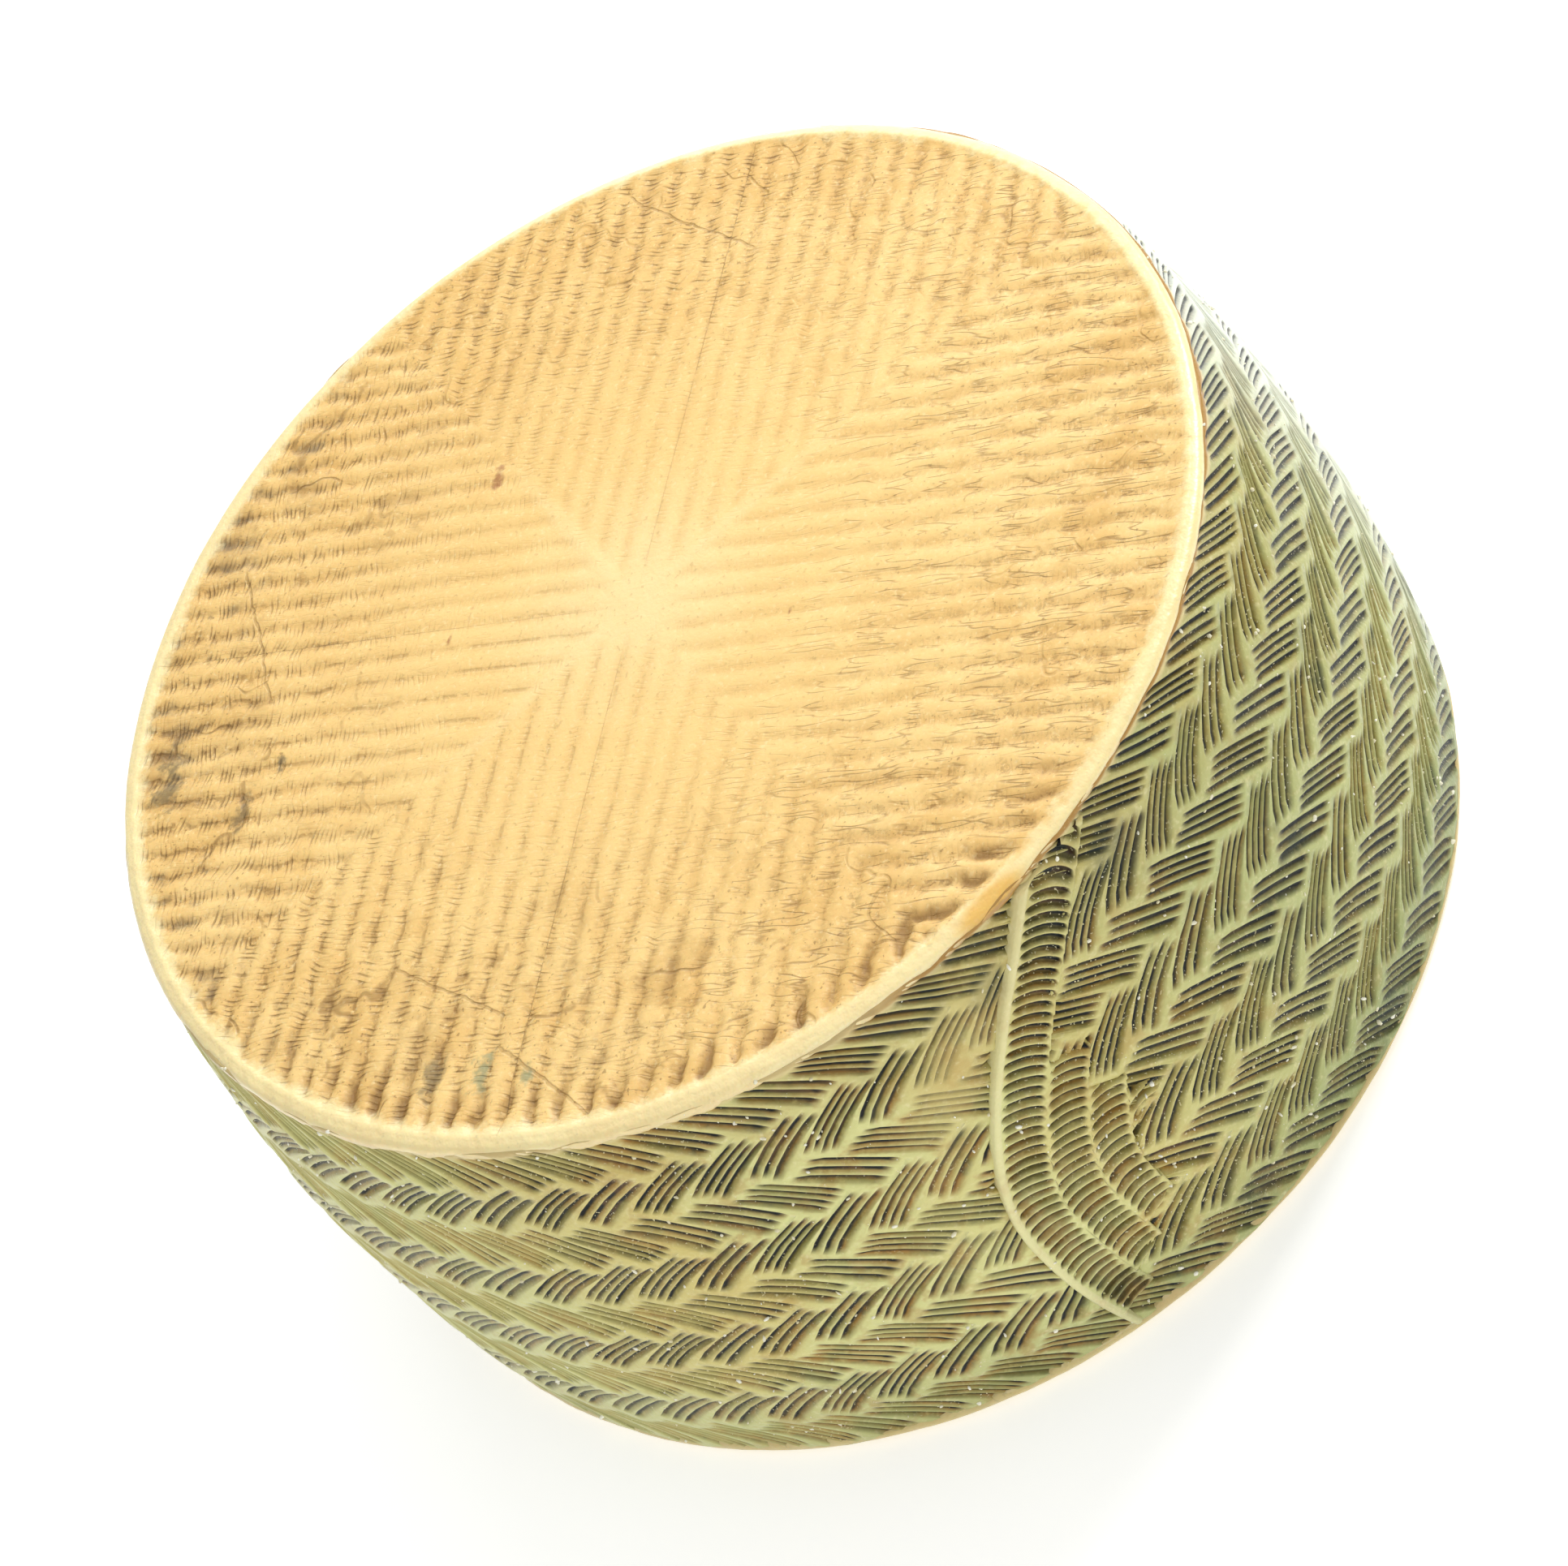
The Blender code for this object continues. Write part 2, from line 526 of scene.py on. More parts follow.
@dataclass(frozen=True)
class FlowerRule:
    """How a carved board marks a face: grooves in four fields that meet at mitre lines."""

    rim: float  # where the grooves end, in metres from the middle
    pitch: float = 4.55 * MM
    centre_depth: float = 0.10 * MM
    rim_depth: float = 0.30 * MM
    hatch: float = 0.92 * MM  # between the fine lines that the cloth left across the ridges
    cloth_angle: float = 46.0  # degrees from +X to across the cloth's threads
    thread: float = 1.35 * MM
    pit_ring: tuple[float, ...] = (9.0, 4.5, 2.2, 0.6)  # where the pits lie, in mm from the rim
    mitre_half: float = 2.3 * MM
    mitre_ring: tuple[float, ...] = (2.0, 8.0, 22.0, 50.0)  # where the mitres show, in mm from the middle

    def marks(self, graph: Graph, x: Term, y: Term) -> dict[str, Term]:
        """Works out the board's marks.

        Args:
            graph: the tree to write into.
            x: the place on the face, in metres from its middle.
            y: the same, the other way.

        Returns:
            valley, scratch, hatch, thread, pit, mitre, fade and outer, from 0 to 1, and radius and depth
            in metres.
        """
        radius = graph.maths("SQRT", x * x + y * y)
        wide = graph.maths("ABSOLUTE", x)
        deep = graph.maths("ABSOLUTE", y)
        place = graph.vector(x, y)
        outer = graph.step(radius, self.rim * 0.30, self.rim * 0.92)
        wobble = graph.noise(place, 30.0, detail=1.0) - 0.5
        ragged = graph.noise(place, 230.0, detail=2.0) - 0.5
        over = (wide - deep) / (self.pitch * math.sqrt(2)) + wobble * 0.46 + ragged * (outer * 0.55 + 0.10)
        middle = graph.step(radius, 3.0 * MM, 13.0 * MM)
        valley = graph.wave(over) ** 1.5 * middle
        off_middle = graph.maths("ABSOLUTE", over + 0.06 - graph.maths("FLOOR", over + 0.56))
        scratch = (1.0 - graph.step(off_middle, 0.02, 0.12)) * middle
        hatch = self.hatching(graph, x, y, over) * (valley * 0.85 + 0.15) * (outer * 0.8 + 0.2)
        thread = self.threads(graph, x, y) * graph.step(radius, 0.008, 0.04)
        facing = (x * -0.454 - y * 0.891) / (radius + 0.001)
        pit_ring = graph.hump(radius, *(self.rim - edge * MM for edge in self.pit_ring))
        pit = valley ** 1.6 * pit_ring * (graph.step(facing, 0.60, 0.86) * 0.92 + 0.08)
        beside = graph.maths("MINIMUM", wide, deep)
        front = graph.step(y * -1.0 - wide, -0.001, 0.001)
        mitre = (1.0 - graph.step(beside, 0.2 * MM, self.mitre_half)) * (0.8 - front * 0.6)
        mitre = mitre * graph.hump(radius, *(edge * MM for edge in self.mitre_ring))
        valley = valley * (1.0 - mitre)
        lump = graph.noise(place, 130.0, detail=3.0, rough=0.6) - 0.5
        fade = 1.0 - graph.step(radius, self.rim - 0.0022, self.rim + 0.0008)
        depth = valley * graph.lerp(self.centre_depth, self.rim_depth, outer) + pit * 0.7 * MM
        depth = depth + lump * (outer * 0.62 * MM + 0.08 * MM) - mitre * 0.10 * MM
        return {
            "valley": valley * fade,
            "hatch": hatch * fade,
            "scratch": scratch * fade * (1.0 - mitre),
            "thread": thread * fade,
            "pit": pit * fade,
            "mitre": mitre,
            "fade": fade,
            "outer": outer,
            "radius": radius,
            "depth": depth * fade,
        }

    def hatching(self, graph: Graph, x: Term, y: Term, over: Term) -> Term:
        """Draws the fine lines that the cloth left across each ridge, broken here and there.

        Args:
            graph: the tree to write into.
            x: the place on the face, in metres from its middle.
            y: the same, the other way.
            over: the place across the ridges, in ridges.

        Returns:
            1 on a line and 0 elsewhere.
        """
        wide, deep = graph.maths("ABSOLUTE", x), graph.maths("ABSOLUTE", y)
        field_side = graph.step(wide - deep, -0.0001, 0.0001)
        ridge = graph.maths("FLOOR", over + 0.5)
        shift, _, _ = graph.chance(graph.vector(ridge, field_side, 7.0))
        waver = graph.noise(graph.vector(x, y), 120.0, detail=1.0)
        ticks = (wide + deep) / math.sqrt(2) / self.hatch + waver * 4.5 + shift * 3.0
        tick = ticks - graph.maths("FLOOR", ticks)
        line = 1.0 - graph.step(graph.maths("ABSOLUTE", tick - 0.5), 0.06, 0.27)
        broken = graph.step(graph.noise(graph.vector(over * 1.1, ticks * 0.55, 2.0), detail=1.0), 0.42, 0.60)
        return line * broken * (1.0 - graph.step(x - y, -0.01, 0.05) * 0.8)

    def threads(self, graph: Graph, x: Term, y: Term) -> Term:
        """Draws the long marks of the cloth's threads, which show most at the front right.

        Args:
            graph: the tree to write into.
            x: the place on the face, in metres from its middle.
            y: the same, the other way.

        Returns:
            1 on a thread and 0 elsewhere.
        """
        place = graph.vector(x, y)
        turn = math.radians(self.cloth_angle)
        across = x * math.cos(turn) + y * math.sin(turn)
        down = y * math.cos(turn) - x * math.sin(turn)
        crumple = graph.noise(place, 50.0, detail=1.0) - 0.5
        lines = graph.vector(across / self.thread + crumple * 1.5, down / (self.thread * 7.0), 4.0)
        thread = 1.0 - graph.maths("ABSOLUTE", graph.noise(lines, 1.05, detail=1.0) - 0.5) * 24.0
        frayed = graph.step(graph.noise(place, 210.0, detail=2.0), 0.40, 0.60)
        sheltered = graph.step(x - y, 0.0, 0.07) * 0.75 + 0.25
        return graph.maths("MAXIMUM", thread, 0.0) * sheltered * frayed


# ---------------------------------------------------------------------------------- the finishes


def new_material(name: str) -> tuple[bpy.types.Material, Graph, bpy.types.Node]:
    """Starts a node material.

    Args:
        name: the material's name.

    Returns:
        The material, a graph to write its nodes with, and its Principled shader.
    """
    material = bpy.data.materials.new(name)
    material.use_nodes = True
    return material, Graph(material.node_tree), material.node_tree.nodes["Principled BSDF"]


@dataclass(frozen=True)
class WaxyBody:
    """What all of the rind's finishes share: how light sinks into it and glances off it."""

    sink: float = 0.14
    sink_reach: tuple[float, float, float] = (1.0, 0.52, 0.22)
    sink_scale: float = 1.5 * MM
    gloss: float = 0.42
    oil: float = 0.14  # the thin oily film on it
    oil_roughness: float = 0.24
    relief: float = 0.55 * MM  # how tall the fine relief is

    def dress(
        self,
        graph: Graph,
        shader: bpy.types.Node,
        rough: Term,
        height: Term,
        oil: Optional[Amount] = None,
    ) -> None:
        """Sets the shader's own values, its roughness and its bump.

        Args:
            graph: the material's graph.
            shader: its Principled shader.
            rough: the roughness all over.
            height: the fine relief, from 0 to 1.
            oil: how strong the oily film is at each place, if it isn't even.
        """
        bump = graph.node("ShaderNodeBump", {"Strength": 1.0, "Distance": self.relief, "Height": height})
        values = {
            "Subsurface Weight": self.sink,
            "Subsurface Radius": self.sink_reach,
            "Subsurface Scale": self.sink_scale,
            "Specular IOR Level": self.gloss,
            "Coat Weight": self.oil if oil is None else oil,
            "Coat Roughness": self.oil_roughness,
            "Roughness": rough,
            "Normal": graph.term(bump),
        }
        graph.fill(shader, values)


@dataclass(frozen=True)
class Lie:
    """Where a place on the side lies, and the soft noises that its finish is mixed by."""

    place: Term
    x: Term
    z: Term
    broad: Term
    patch: Term
    mottle: Term
    right: Term
    left: Term
    foot: Term
    # Where the painted glare lies, on the side's back right.
    dusty: Term
    cold: Term

    @classmethod
    def read(cls, graph: Graph) -> "Lie":
        """Reads them all for a material.

        Args:
            graph: the material's graph.

        Returns:
            The place and its noises; the other terms are shares from 0 to 1.
        """
        place = graph.place()
        x, y, z = graph.split(place)
        right = graph.step(x, -0.02, 0.05)
        foot = 1.0 - graph.step(z, 0.004, 0.026)
        cold = graph.clamp(graph.step(graph.noise(place, 42.0, detail=3.0), 0.47, 0.62) + foot * 0.5)
        return cls(
            place=place,
            x=x,
            z=z,
            broad=graph.noise(place, 24.0, detail=3.0),
            patch=graph.noise(place, 70.0, detail=3.0, rough=0.6),
            mottle=graph.noise(place, 420.0, detail=3.0, rough=0.65),
            right=right,
            left=graph.step(x, -0.045, -0.085),
            foot=foot,
            # Painted glare where the rear light grazes the back right.
            dusty=graph.hump(y, -0.056, -0.010, 0.020, 0.060) * right,
            cold=cold * (right * 0.55 + 0.35),
        )


@dataclass(frozen=True)
class SideFinish:
    """The plaited rind: sage crests, olive and rusty stain in each groove, painted shade along its wall."""

    plait: PlaitRule
    stitches: StitchRule
    top: float  # the upper face's height
    body: WaxyBody = WaxyBody(sink=0.04, gloss=0.24, oil=0.07, oil_roughness=0.18)
    sage: Colour = paint(212, 211, 142)
    straw: Colour = paint(212, 194, 118)
    # Sage darkened as painted shade, for the right of the side and its foot.
    shaded_sage: Colour = paint(154, 163, 104)
    tan: Colour = paint(202, 176, 106)
    cream: Colour = paint(236, 226, 176)
    olive: Colour = paint(118, 106, 34)
    rust: Colour = paint(166, 114, 38)
    mould: Colour = paint(38, 54, 50)
    # Painted shade deep in each groove, next to its wall.
    deep: Colour = paint(66, 60, 30)
    # The darkest painted shade along each groove's wall, also used for dark spots on the groove floors.
    shade_and_dirt: Colour = paint(7, 11, 8)
    umber: Colour = paint(84, 54, 22)
    # A pale cool white, painted as glare where the rear light grazes the side.
    glare_white: Colour = paint(238, 245, 236)
    bloom: float = 0.09  # the pale dust that shows at a glancing look
    bloom_tint: Colour = paint(214, 232, 236)
    bloom_roughness: float = 0.35

    def coat(
        self,
        graph: Graph,
        shader: bpy.types.Node,
        marks: dict[str, Term],
        smear: Amount = 0.0,
        pale: Amount = 0.0,
    ) -> None:
        """Colours the side from its marks.

        Args:
            graph: the material's graph.
            shader: its Principled shader.
            marks: groove, line, stain and last at each place.
            smear: how far the rind was rubbed smooth, from 0 to 1.
            pale: how far it stands proud and clean, from 0 to 1.
        """
        lie = Lie.read(graph)
        place, patch, right, left = lie.place, lie.patch, lie.right, lie.left
        stained = graph.clamp(marks["stain"] * (patch * 0.8 + 0.60) + marks["last"] * marks["groove"] * 0.3)
        thick = graph.noise(place, 150.0, detail=3.0, rough=0.6)
        # How dark the painted shade along each groove's wall gets; it is darker on the right.
        shade_darkness = graph.clamp(graph.step(thick, 0.36, 0.52) + lie.cold * 0.5 + right * 0.6)
        drawn = graph.clamp(marks["line"] * (thick * 1.2 + 0.55 - left * 0.2))
        under_lip = graph.step(lie.z, self.top - 2.3 * MM, self.top - 1.8 * MM)
        glint = graph.step(graph.noise(place, 2300.0, detail=1.0), 0.66, 0.72)
        glint = glint * graph.step(lie.broad, 0.42, 0.58)
        tone = graph.layers(
            self.crest(graph, lie, smear, pale),
            (self.floor(graph, lie, marks), stained * (0.94 - left * 0.22)),
            # Painted shade along the foot of each groove's wall.
            (graph.blend(self.umber, self.shade_and_dirt, shade_darkness), drawn),
            (self.mould, graph.step(patch, 0.56, 0.70) * lie.cold * 0.6),
            (self.rust, under_lip * (graph.step(lie.x, -0.02, 0.0) * 0.55 + 0.25)),
            (self.cream, glint * (marks["stain"] * 0.7 + 0.15)),
        )
        dust = {
            "Sheen Weight": self.bloom,
            "Sheen Tint": self.bloom_tint,
            "Sheen Roughness": self.bloom_roughness,
        }
        graph.fill(shader, {"Base Color": tone} | dust)
        rough = 0.28 + patch * 0.2 + marks["groove"] * 0.16
        fibre = graph.noise(place, 1300.0, detail=2.0)
        self.body.dress(graph, shader, rough, fibre * 0.24 + lie.mottle * 0.2 - marks["groove"] * 0.8)

    def crest(self, graph: Graph, lie: Lie, smear: Amount, pale: Amount) -> Term:
        """Mixes the colour that stands up between the grooves.

        Args:
            graph: the material's graph.
            lie: the place and its noises.
            smear: how far the rind was rubbed smooth, from 0 to 1.
            pale: how far it stands proud and clean, from 0 to 1.

        Returns:
            The colour.
        """
        smudge = graph.step(graph.noise(lie.place, 190.0, detail=3.0, rough=0.65), 0.50, 0.68)
        tanned = graph.clamp(smear * 0.65 + graph.step(lie.z, 0.062, 0.086) * 0.4)
        speck = graph.step(graph.noise(lie.place, 900.0, detail=2.0), 0.52, 0.8)
        shoulder = graph.step(lie.z, self.top - 3.2 * MM, self.top - 2.0 * MM)
        return graph.layers(
            self.sage,
            (self.straw, graph.step(lie.broad, 0.44, 0.66) * (1.0 - lie.right * 0.6)),
            # Painted shade on the crests at the right and at the foot.
            (self.shaded_sage, graph.clamp(lie.right * 0.55 + lie.foot * 0.55)),
            (self.rust, smudge * (0.40 - lie.right * 0.2)),
            (self.tan, tanned * graph.step(lie.patch, 0.34, 0.60)),
            (self.cream, speck * 0.4),
            (self.cream, pale * 0.45),
            (self.sage, lie.left * 0.6),
            # Painted glare on the crests at the back right.
            (self.glare_white, lie.dusty * 0.8),
            (self.tan, shoulder),
            (self.cream, shoulder * 0.45),
        )

    def floor(self, graph: Graph, lie: Lie, marks: dict[str, Term]) -> Term:
        """Mixes the colour of the grooves' stained floors, with painted shade deep by the wall.

        Args:
            graph: the material's graph.
            lie: the place and its noises.
            marks: stain and last at each place.

        Returns:
            The colour.
        """
        rusty = graph.step(graph.noise(lie.place, 110.0, detail=3.0), 0.42, 0.60)
        # Painted shade in the deepest part of each groove, next to its wall.
        deep_shade = graph.step(marks["stain"], 0.70, 0.98)
        return graph.layers(
            self.olive,
            (self.rust, rusty * (0.95 - lie.right * 0.60)),
            (self.mould, lie.cold * (marks["last"] * 0.5 + 0.38)),
            (self.shade_and_dirt, graph.step(lie.mottle, 0.52, 0.70) * (marks["last"] * 0.35 + 0.35)),
            (self.straw, graph.step(lie.mottle, 0.48, 0.30) * 0.45),
            (self.deep, deep_shade * (lie.mottle * 0.6 + 0.35)),
            # Painted glare on the groove floors at the back right.
            (self.glare_white, lie.dusty * 0.42),
        )

    def plaited(self) -> bpy.types.Material:
        """Makes the plaited side's material.

        Returns:
            The material.
        """
        material, graph, shader = new_material("plaited_rind")
        wrap = graph.node("ShaderNodeUVMap", uv_map="plait")
        blocks, rows, _ = graph.split(graph.term(wrap))
        marks = self.plait.marks(graph, blocks, rows)
        smear = graph.term(graph.node("ShaderNodeAttribute", attribute_name="smear"), "Fac")
        worn = 1.0 - smear * 0.75
        worn_marks = {name: marks[name] * worn for name in ("groove", "line", "stain")}
        self.coat(graph, shader, marks | worn_marks, smear=smear)
        return material

    def stitched(self) -> bpy.types.Material:
        """Makes the seam's material.

        Returns:
            The material.
        """
        material, graph, shader = new_material("stitched_rind")
        wrap = graph.node("ShaderNodeUVMap", uv_map="stitch")
        away, along, _ = graph.split(graph.term(wrap))
        down = graph.term(graph.node("ShaderNodeAttribute", attribute_name="down"), "Fac")
        marks = self.stitches.marks(graph, away, along, down)
        foot = graph.step(down, 0.74, 0.88) * graph.hump(away, 0.6, 1.8, 6.0, 8.0)
        head = 1.0 - graph.step(down, 0.10, 0.34)
        soiled = {
            "stain": graph.clamp(marks["stain"] * (head * 0.4 + 1.2) + foot * 0.6),
            # The painted shade along the stitches' walls is stronger on the seam.
            "line": graph.clamp(marks["line"] * 1.35),
            "last": graph.maths("MAXIMUM", marks["last"], head),
        }
        self.coat(graph, shader, marks | soiled, pale=marks["pale"])
        return material


@dataclass(frozen=True)
class Spot:
    """One stain on a face: its middle as shares of the rim's radius, and its size in metres."""

    x: float
    y: float
    size: float
    colour: Colour
    strength: float = 0.8


GREEN_MOULD = paint(150, 152, 112)
DARK_MOULD = paint(104, 92, 66)
RED_BROWN = paint(150, 84, 44)


@dataclass(frozen=True)
class FaceFinish:
    """The pressed faces: butter yellow, browner in the outer grooves, with a pale smooth lip."""

    flower: FlowerRule
    form: WheelForm
    body: WaxyBody = WaxyBody(sink=0.2, sink_scale=2.2 * MM, oil=0.1, oil_roughness=0.32)
    butter: Colour = paint(244, 208, 136)
    pale: Colour = paint(247, 219, 158)
    ochre: Colour = paint(228, 185, 108)
    valley: Colour = paint(214, 168, 94)
    brown: Colour = paint(134, 96, 44)
    mould: Colour = paint(112, 98, 74)
    lip: Colour = paint(253, 237, 180)
    base_lip: Colour = paint(196, 186, 128)
    amber: Colour = paint(232, 176, 56)
    crease: Colour = paint(158, 112, 56)
    amber_turn: float = -4.6  # degrees round the lip from the seam to the amber patch's middle
    amber_long: float = 7.5 * MM
    amber_wide: float = 2.6 * MM
    folds: tuple[tuple[float, float, float, float], ...] = (
        (-0.612, -0.541, -0.562, -0.790),
        (-0.671, -0.261, -0.570, -0.519),
        (-0.471, 0.739, -0.578, 0.413),
        (0.466, 0.819, 0.554, 0.470),
    )
    spots: tuple[Spot, ...] = (
        Spot(-0.655, -0.575, 3.0 * MM, GREEN_MOULD),
        Spot(-0.600, -0.640, 1.8 * MM, GREEN_MOULD),
        Spot(-0.720, -0.500, 3.2 * MM, DARK_MOULD, 0.6),
        Spot(-0.795, 0.440, 5.0 * MM, DARK_MOULD, 0.7),
        Spot(-0.720, 0.260, 3.4 * MM, DARK_MOULD, 0.6),
        Spot(-0.625, 0.286, 2.0 * MM, DARK_MOULD, 0.8),
        Spot(-0.273, 0.237, 1.1 * MM, RED_BROWN),
        Spot(-0.220, 0.248, 1.2 * MM, RED_BROWN),
        Spot(-0.030, 0.470, 1.6 * MM, RED_BROWN, 0.7),
        Spot(0.180, -0.250, 0.8 * MM, RED_BROWN),
    )

    def material(self, name: str, face_z: float) -> bpy.types.Material:
        """Makes a face's material.

        Args:
            name: the material's name.
            face_z: the height of the face.

        Returns:
            The material.
        """
        upper = face_z > 0
        material, graph, shader = new_material(name)
        place = graph.place()
        x, y, z = graph.split(place)
        marks = self.flower.marks(graph, x, y)
        radius, outer, valley = marks["radius"], marks["outer"], marks["valley"]
        broad = graph.noise(place, 22.0, detail=3.0)
        patch = graph.noise(place, 75.0, detail=4.0, rough=0.65)
        torn = graph.noise(place, 330.0, detail=3.0, rough=0.65)
        grain = graph.noise(place, 1200.0, detail=2.0)
        uneven = graph.step(graph.noise(place, 150.0, detail=3.0), 0.34, 0.64)
        west = x * -1.0 / (radius + 0.001)
        soiled = graph.step(west, -0.25, 0.55)
        drawn = marks["scratch"] * graph.step(torn, 0.42, 0.56) * graph.step(patch, 0.36, 0.56)
        drawn = drawn * (graph.step(west, 0.30, 0.85) * 0.75 + 0.25)
        fine = graph.clamp(marks["hatch"] + marks["thread"] * 0.9 + drawn * 0.8)
        gritty = graph.step(graph.noise(place, 620.0, detail=3.0, rough=0.75), 0.50, 0.64)
        blot = graph.step(graph.noise(place, 60.0, detail=5.0, rough=0.72), 0.50, 0.68) * outer
        bend = graph.maths("ABSOLUTE", graph.noise(place, 44.0, detail=3.0, rough=0.5) - 0.5)
        wrinkle = (1.0 - graph.step(bend, 0.002, 0.014)) * graph.step(patch, 0.49, 0.58)
        wrinkle = wrinkle * outer * marks["fade"]
        folded = self.folded(graph, x, y, patch)
        tone = graph.layers(
            self.pale,
            (self.butter, graph.step(radius + broad * 0.03, 0.012, 0.046)),
            (self.ochre, graph.step(y, 0.000, 0.070) * 0.45),
            (self.ochre, graph.step(patch, 0.40, 0.66) * (outer * 0.62 + 0.14)),
            (self.valley, valley * graph.lerp(0.26, 0.50, outer) * (uneven * 0.7 + 0.4)),
            (self.pale, marks["mitre"] * 0.42),
            (self.brown, fine * graph.lerp(0.26, 0.60, outer)),
            (self.brown, graph.step(grain, 0.64, 0.72) * (outer * 0.35 + 0.2)),
            (self.pale, graph.step(grain, 0.40, 0.30) * 0.5),
            (self.brown, gritty * (valley * 0.7 + 0.15) * (outer * 0.40 + 0.06)),
            (self.brown, blot * (soiled * 0.5 + 0.10) * (valley * 0.8 + 0.3)),
            (self.brown, graph.clamp(marks["pit"] * (uneven * 1.1 + 0.2)) * 0.72),
            (self.brown, wrinkle * (soiled * 0.5 + 0.06)),
            (self.mould, self.sooty(graph, place, marks)),
            *((spot.colour, self.spotted(graph, x, y, torn, spot)) for spot in self.spots if upper),
            (self.brown, folded * 0.30),
        )
        rim = self.flower.rim
        lip = graph.step(radius + (torn - 0.5) * 0.005 + soiled * 0.0014, rim - 0.0012, rim + 0.0012)
        low = graph.maths("ABSOLUTE", z - face_z) + (torn - 0.5) * 0.0012
        crease = graph.step(low, self.form.lip_height * 0.55, self.form.lip_height * 0.90)
        crease = crease * (graph.step(x, -0.016, -0.008) * 0.55 + 0.2)
        if upper:
            amber = self.amber_patch(graph, x, y)
            films = ((self.lip, 0.90 - patch * 0.35), (self.amber, amber), (self.crease, crease))
        else:
            films = ((self.base_lip, 0.90 - patch * 0.35), (self.crease, crease * 0.3))
        tone = graph.layers(tone, *((film, lip * share) for film, share in films))
        graph.fill(shader, {"Base Color": tone})
        rough = 0.38 + patch * 0.2 + valley * 0.08 - lip * 0.14
        cuts = marks["hatch"] * 0.42 + marks["thread"] * 0.2 + valley * 0.16
        cuts = cuts + folded * 0.25 + drawn * 0.2 + wrinkle * 0.3
        relief = (grain - 0.5) * 0.12 + patch * 0.16 + (torn - 0.5) * (lip * 0.45 + 0.25) - cuts
        self.body.dress(graph, shader, rough, relief, oil=lip * (torn * 0.5 + 0.15) + self.body.oil)
        return material

    def sooty(self, graph: Graph, place: Term, marks: dict[str, Term]) -> Term:
        """Where dark mould grew beside the lip, on the wheel's back left.

        Args:
            graph: the material's graph.
            place: the place on the face.
            marks: the board's marks there.

        Returns:
            How much of it shows, from 0 to 1.
        """
        x, y, _ = graph.split(place)
        radius, rim = marks["radius"], self.flower.rim
        back_left = graph.step((y * 0.64 - x * 0.77) / (radius + 0.001), 0.35, 0.85)
        shore = graph.hump(radius, rim - 0.020, rim - 0.008, rim - 0.001, rim + 0.003)
        grown = graph.step(graph.noise(place, 95.0, detail=5.0, rough=0.7), 0.48, 0.68)
        return back_left * shore * grown * (marks["valley"] * 0.55 + 0.12)

    def spotted(self, graph: Graph, x: Term, y: Term, patch: Term, spot: Spot) -> Term:
        """How much of a spot shows at each place.

        Args:
            graph: the material's graph.
            x: the place on the face.
            y: the same, the other way.
            patch: the noise that frays its edge.
            spot: the spot.

        Returns:
            How much of it shows, from 0 to 1.
        """
        over = x - spot.x * self.form.top_rim
        up = y - spot.y * self.form.top_rim
        long, thin = (over + up) * 0.5, (up - over) * 1.15
        far = graph.maths("SQRT", long * long + thin * thin) / spot.size + (patch - 0.5) * 4.0
        return (1.0 - graph.step(far, 0.1, 1.1)) * spot.strength

    def folded(self, graph: Graph, x: Term, y: Term, patch: Term) -> Term:
        """Where the pressing cloth's folds left a crease.

        Args:
            graph: the material's graph.
            x: the place on the face.
            y: the same, the other way.
            patch: the noise that bends them.

        Returns:
            1 in a crease and 0 elsewhere.
        """
        total = 0.0
        rim = self.form.top_rim
        for x0, y0, x1, y1 in self.folds:
            reach = math.hypot(x1 - x0, y1 - y0)
            way_x, way_y = (x1 - x0) / reach, (y1 - y0) / reach
            run = (x - x0 * rim) * way_x + (y - y0 * rim) * way_y
            off = (x - x0 * rim) * -way_y + (y - y0 * rim) * way_x + (patch - 0.5) * 3.2 * MM
            thin = 1.0 - graph.step(graph.maths("ABSOLUTE", off), 0.10 * MM, 0.38 * MM)
            total = total + thin * graph.hump(run, 0.0, 2.0 * MM, reach * rim - 2.0 * MM, reach * rim)
        return graph.clamp(total)

    def amber_patch(self, graph: Graph, x: Term, y: Term) -> Term:
        """Where the lip is thin and amber, just left of the seam.

        Args:
            graph: the material's graph.
            x: the place on the face.
            y: the same, the other way.

        Returns:
            How much of the amber shows, from 0 to 1.
        """
        turn = math.radians(self.form.seam_far + self.form.seam_lean + self.amber_turn)
        side = (x * -math.sin(turn) + y * math.cos(turn)) / self.amber_long
        inward = (x * math.cos(turn) + y * math.sin(turn) - self.form.top_rim) / self.amber_wide
        far = graph.maths("SQRT", side * side + inward * inward)
        return (1.0 - graph.step(far, 0.45, 1.1)) * 0.75


@dataclass(frozen=True)
class FleckFinish:
    """Dry crumbs of curd and mould that cling to the side."""

    crumb: Colour = paint(250, 248, 230)
    grey: Colour = paint(226, 218, 180)

    def material(self) -> bpy.types.Material:
        """Makes the crumbs' material.

        Returns:
            The material.
        """
        material, graph, shader = new_material("dry_crumb")
        broad = graph.noise(graph.place(), 300.0, detail=2.0)
        tone = graph.blend(self.crumb, self.grey, graph.step(broad, 0.4, 0.65))
        graph.fill(shader, {"Base Color": tone, "Roughness": 0.5 + broad * 0.3})
        return material


# ----------------------------------------------------------------------------------- mesh making


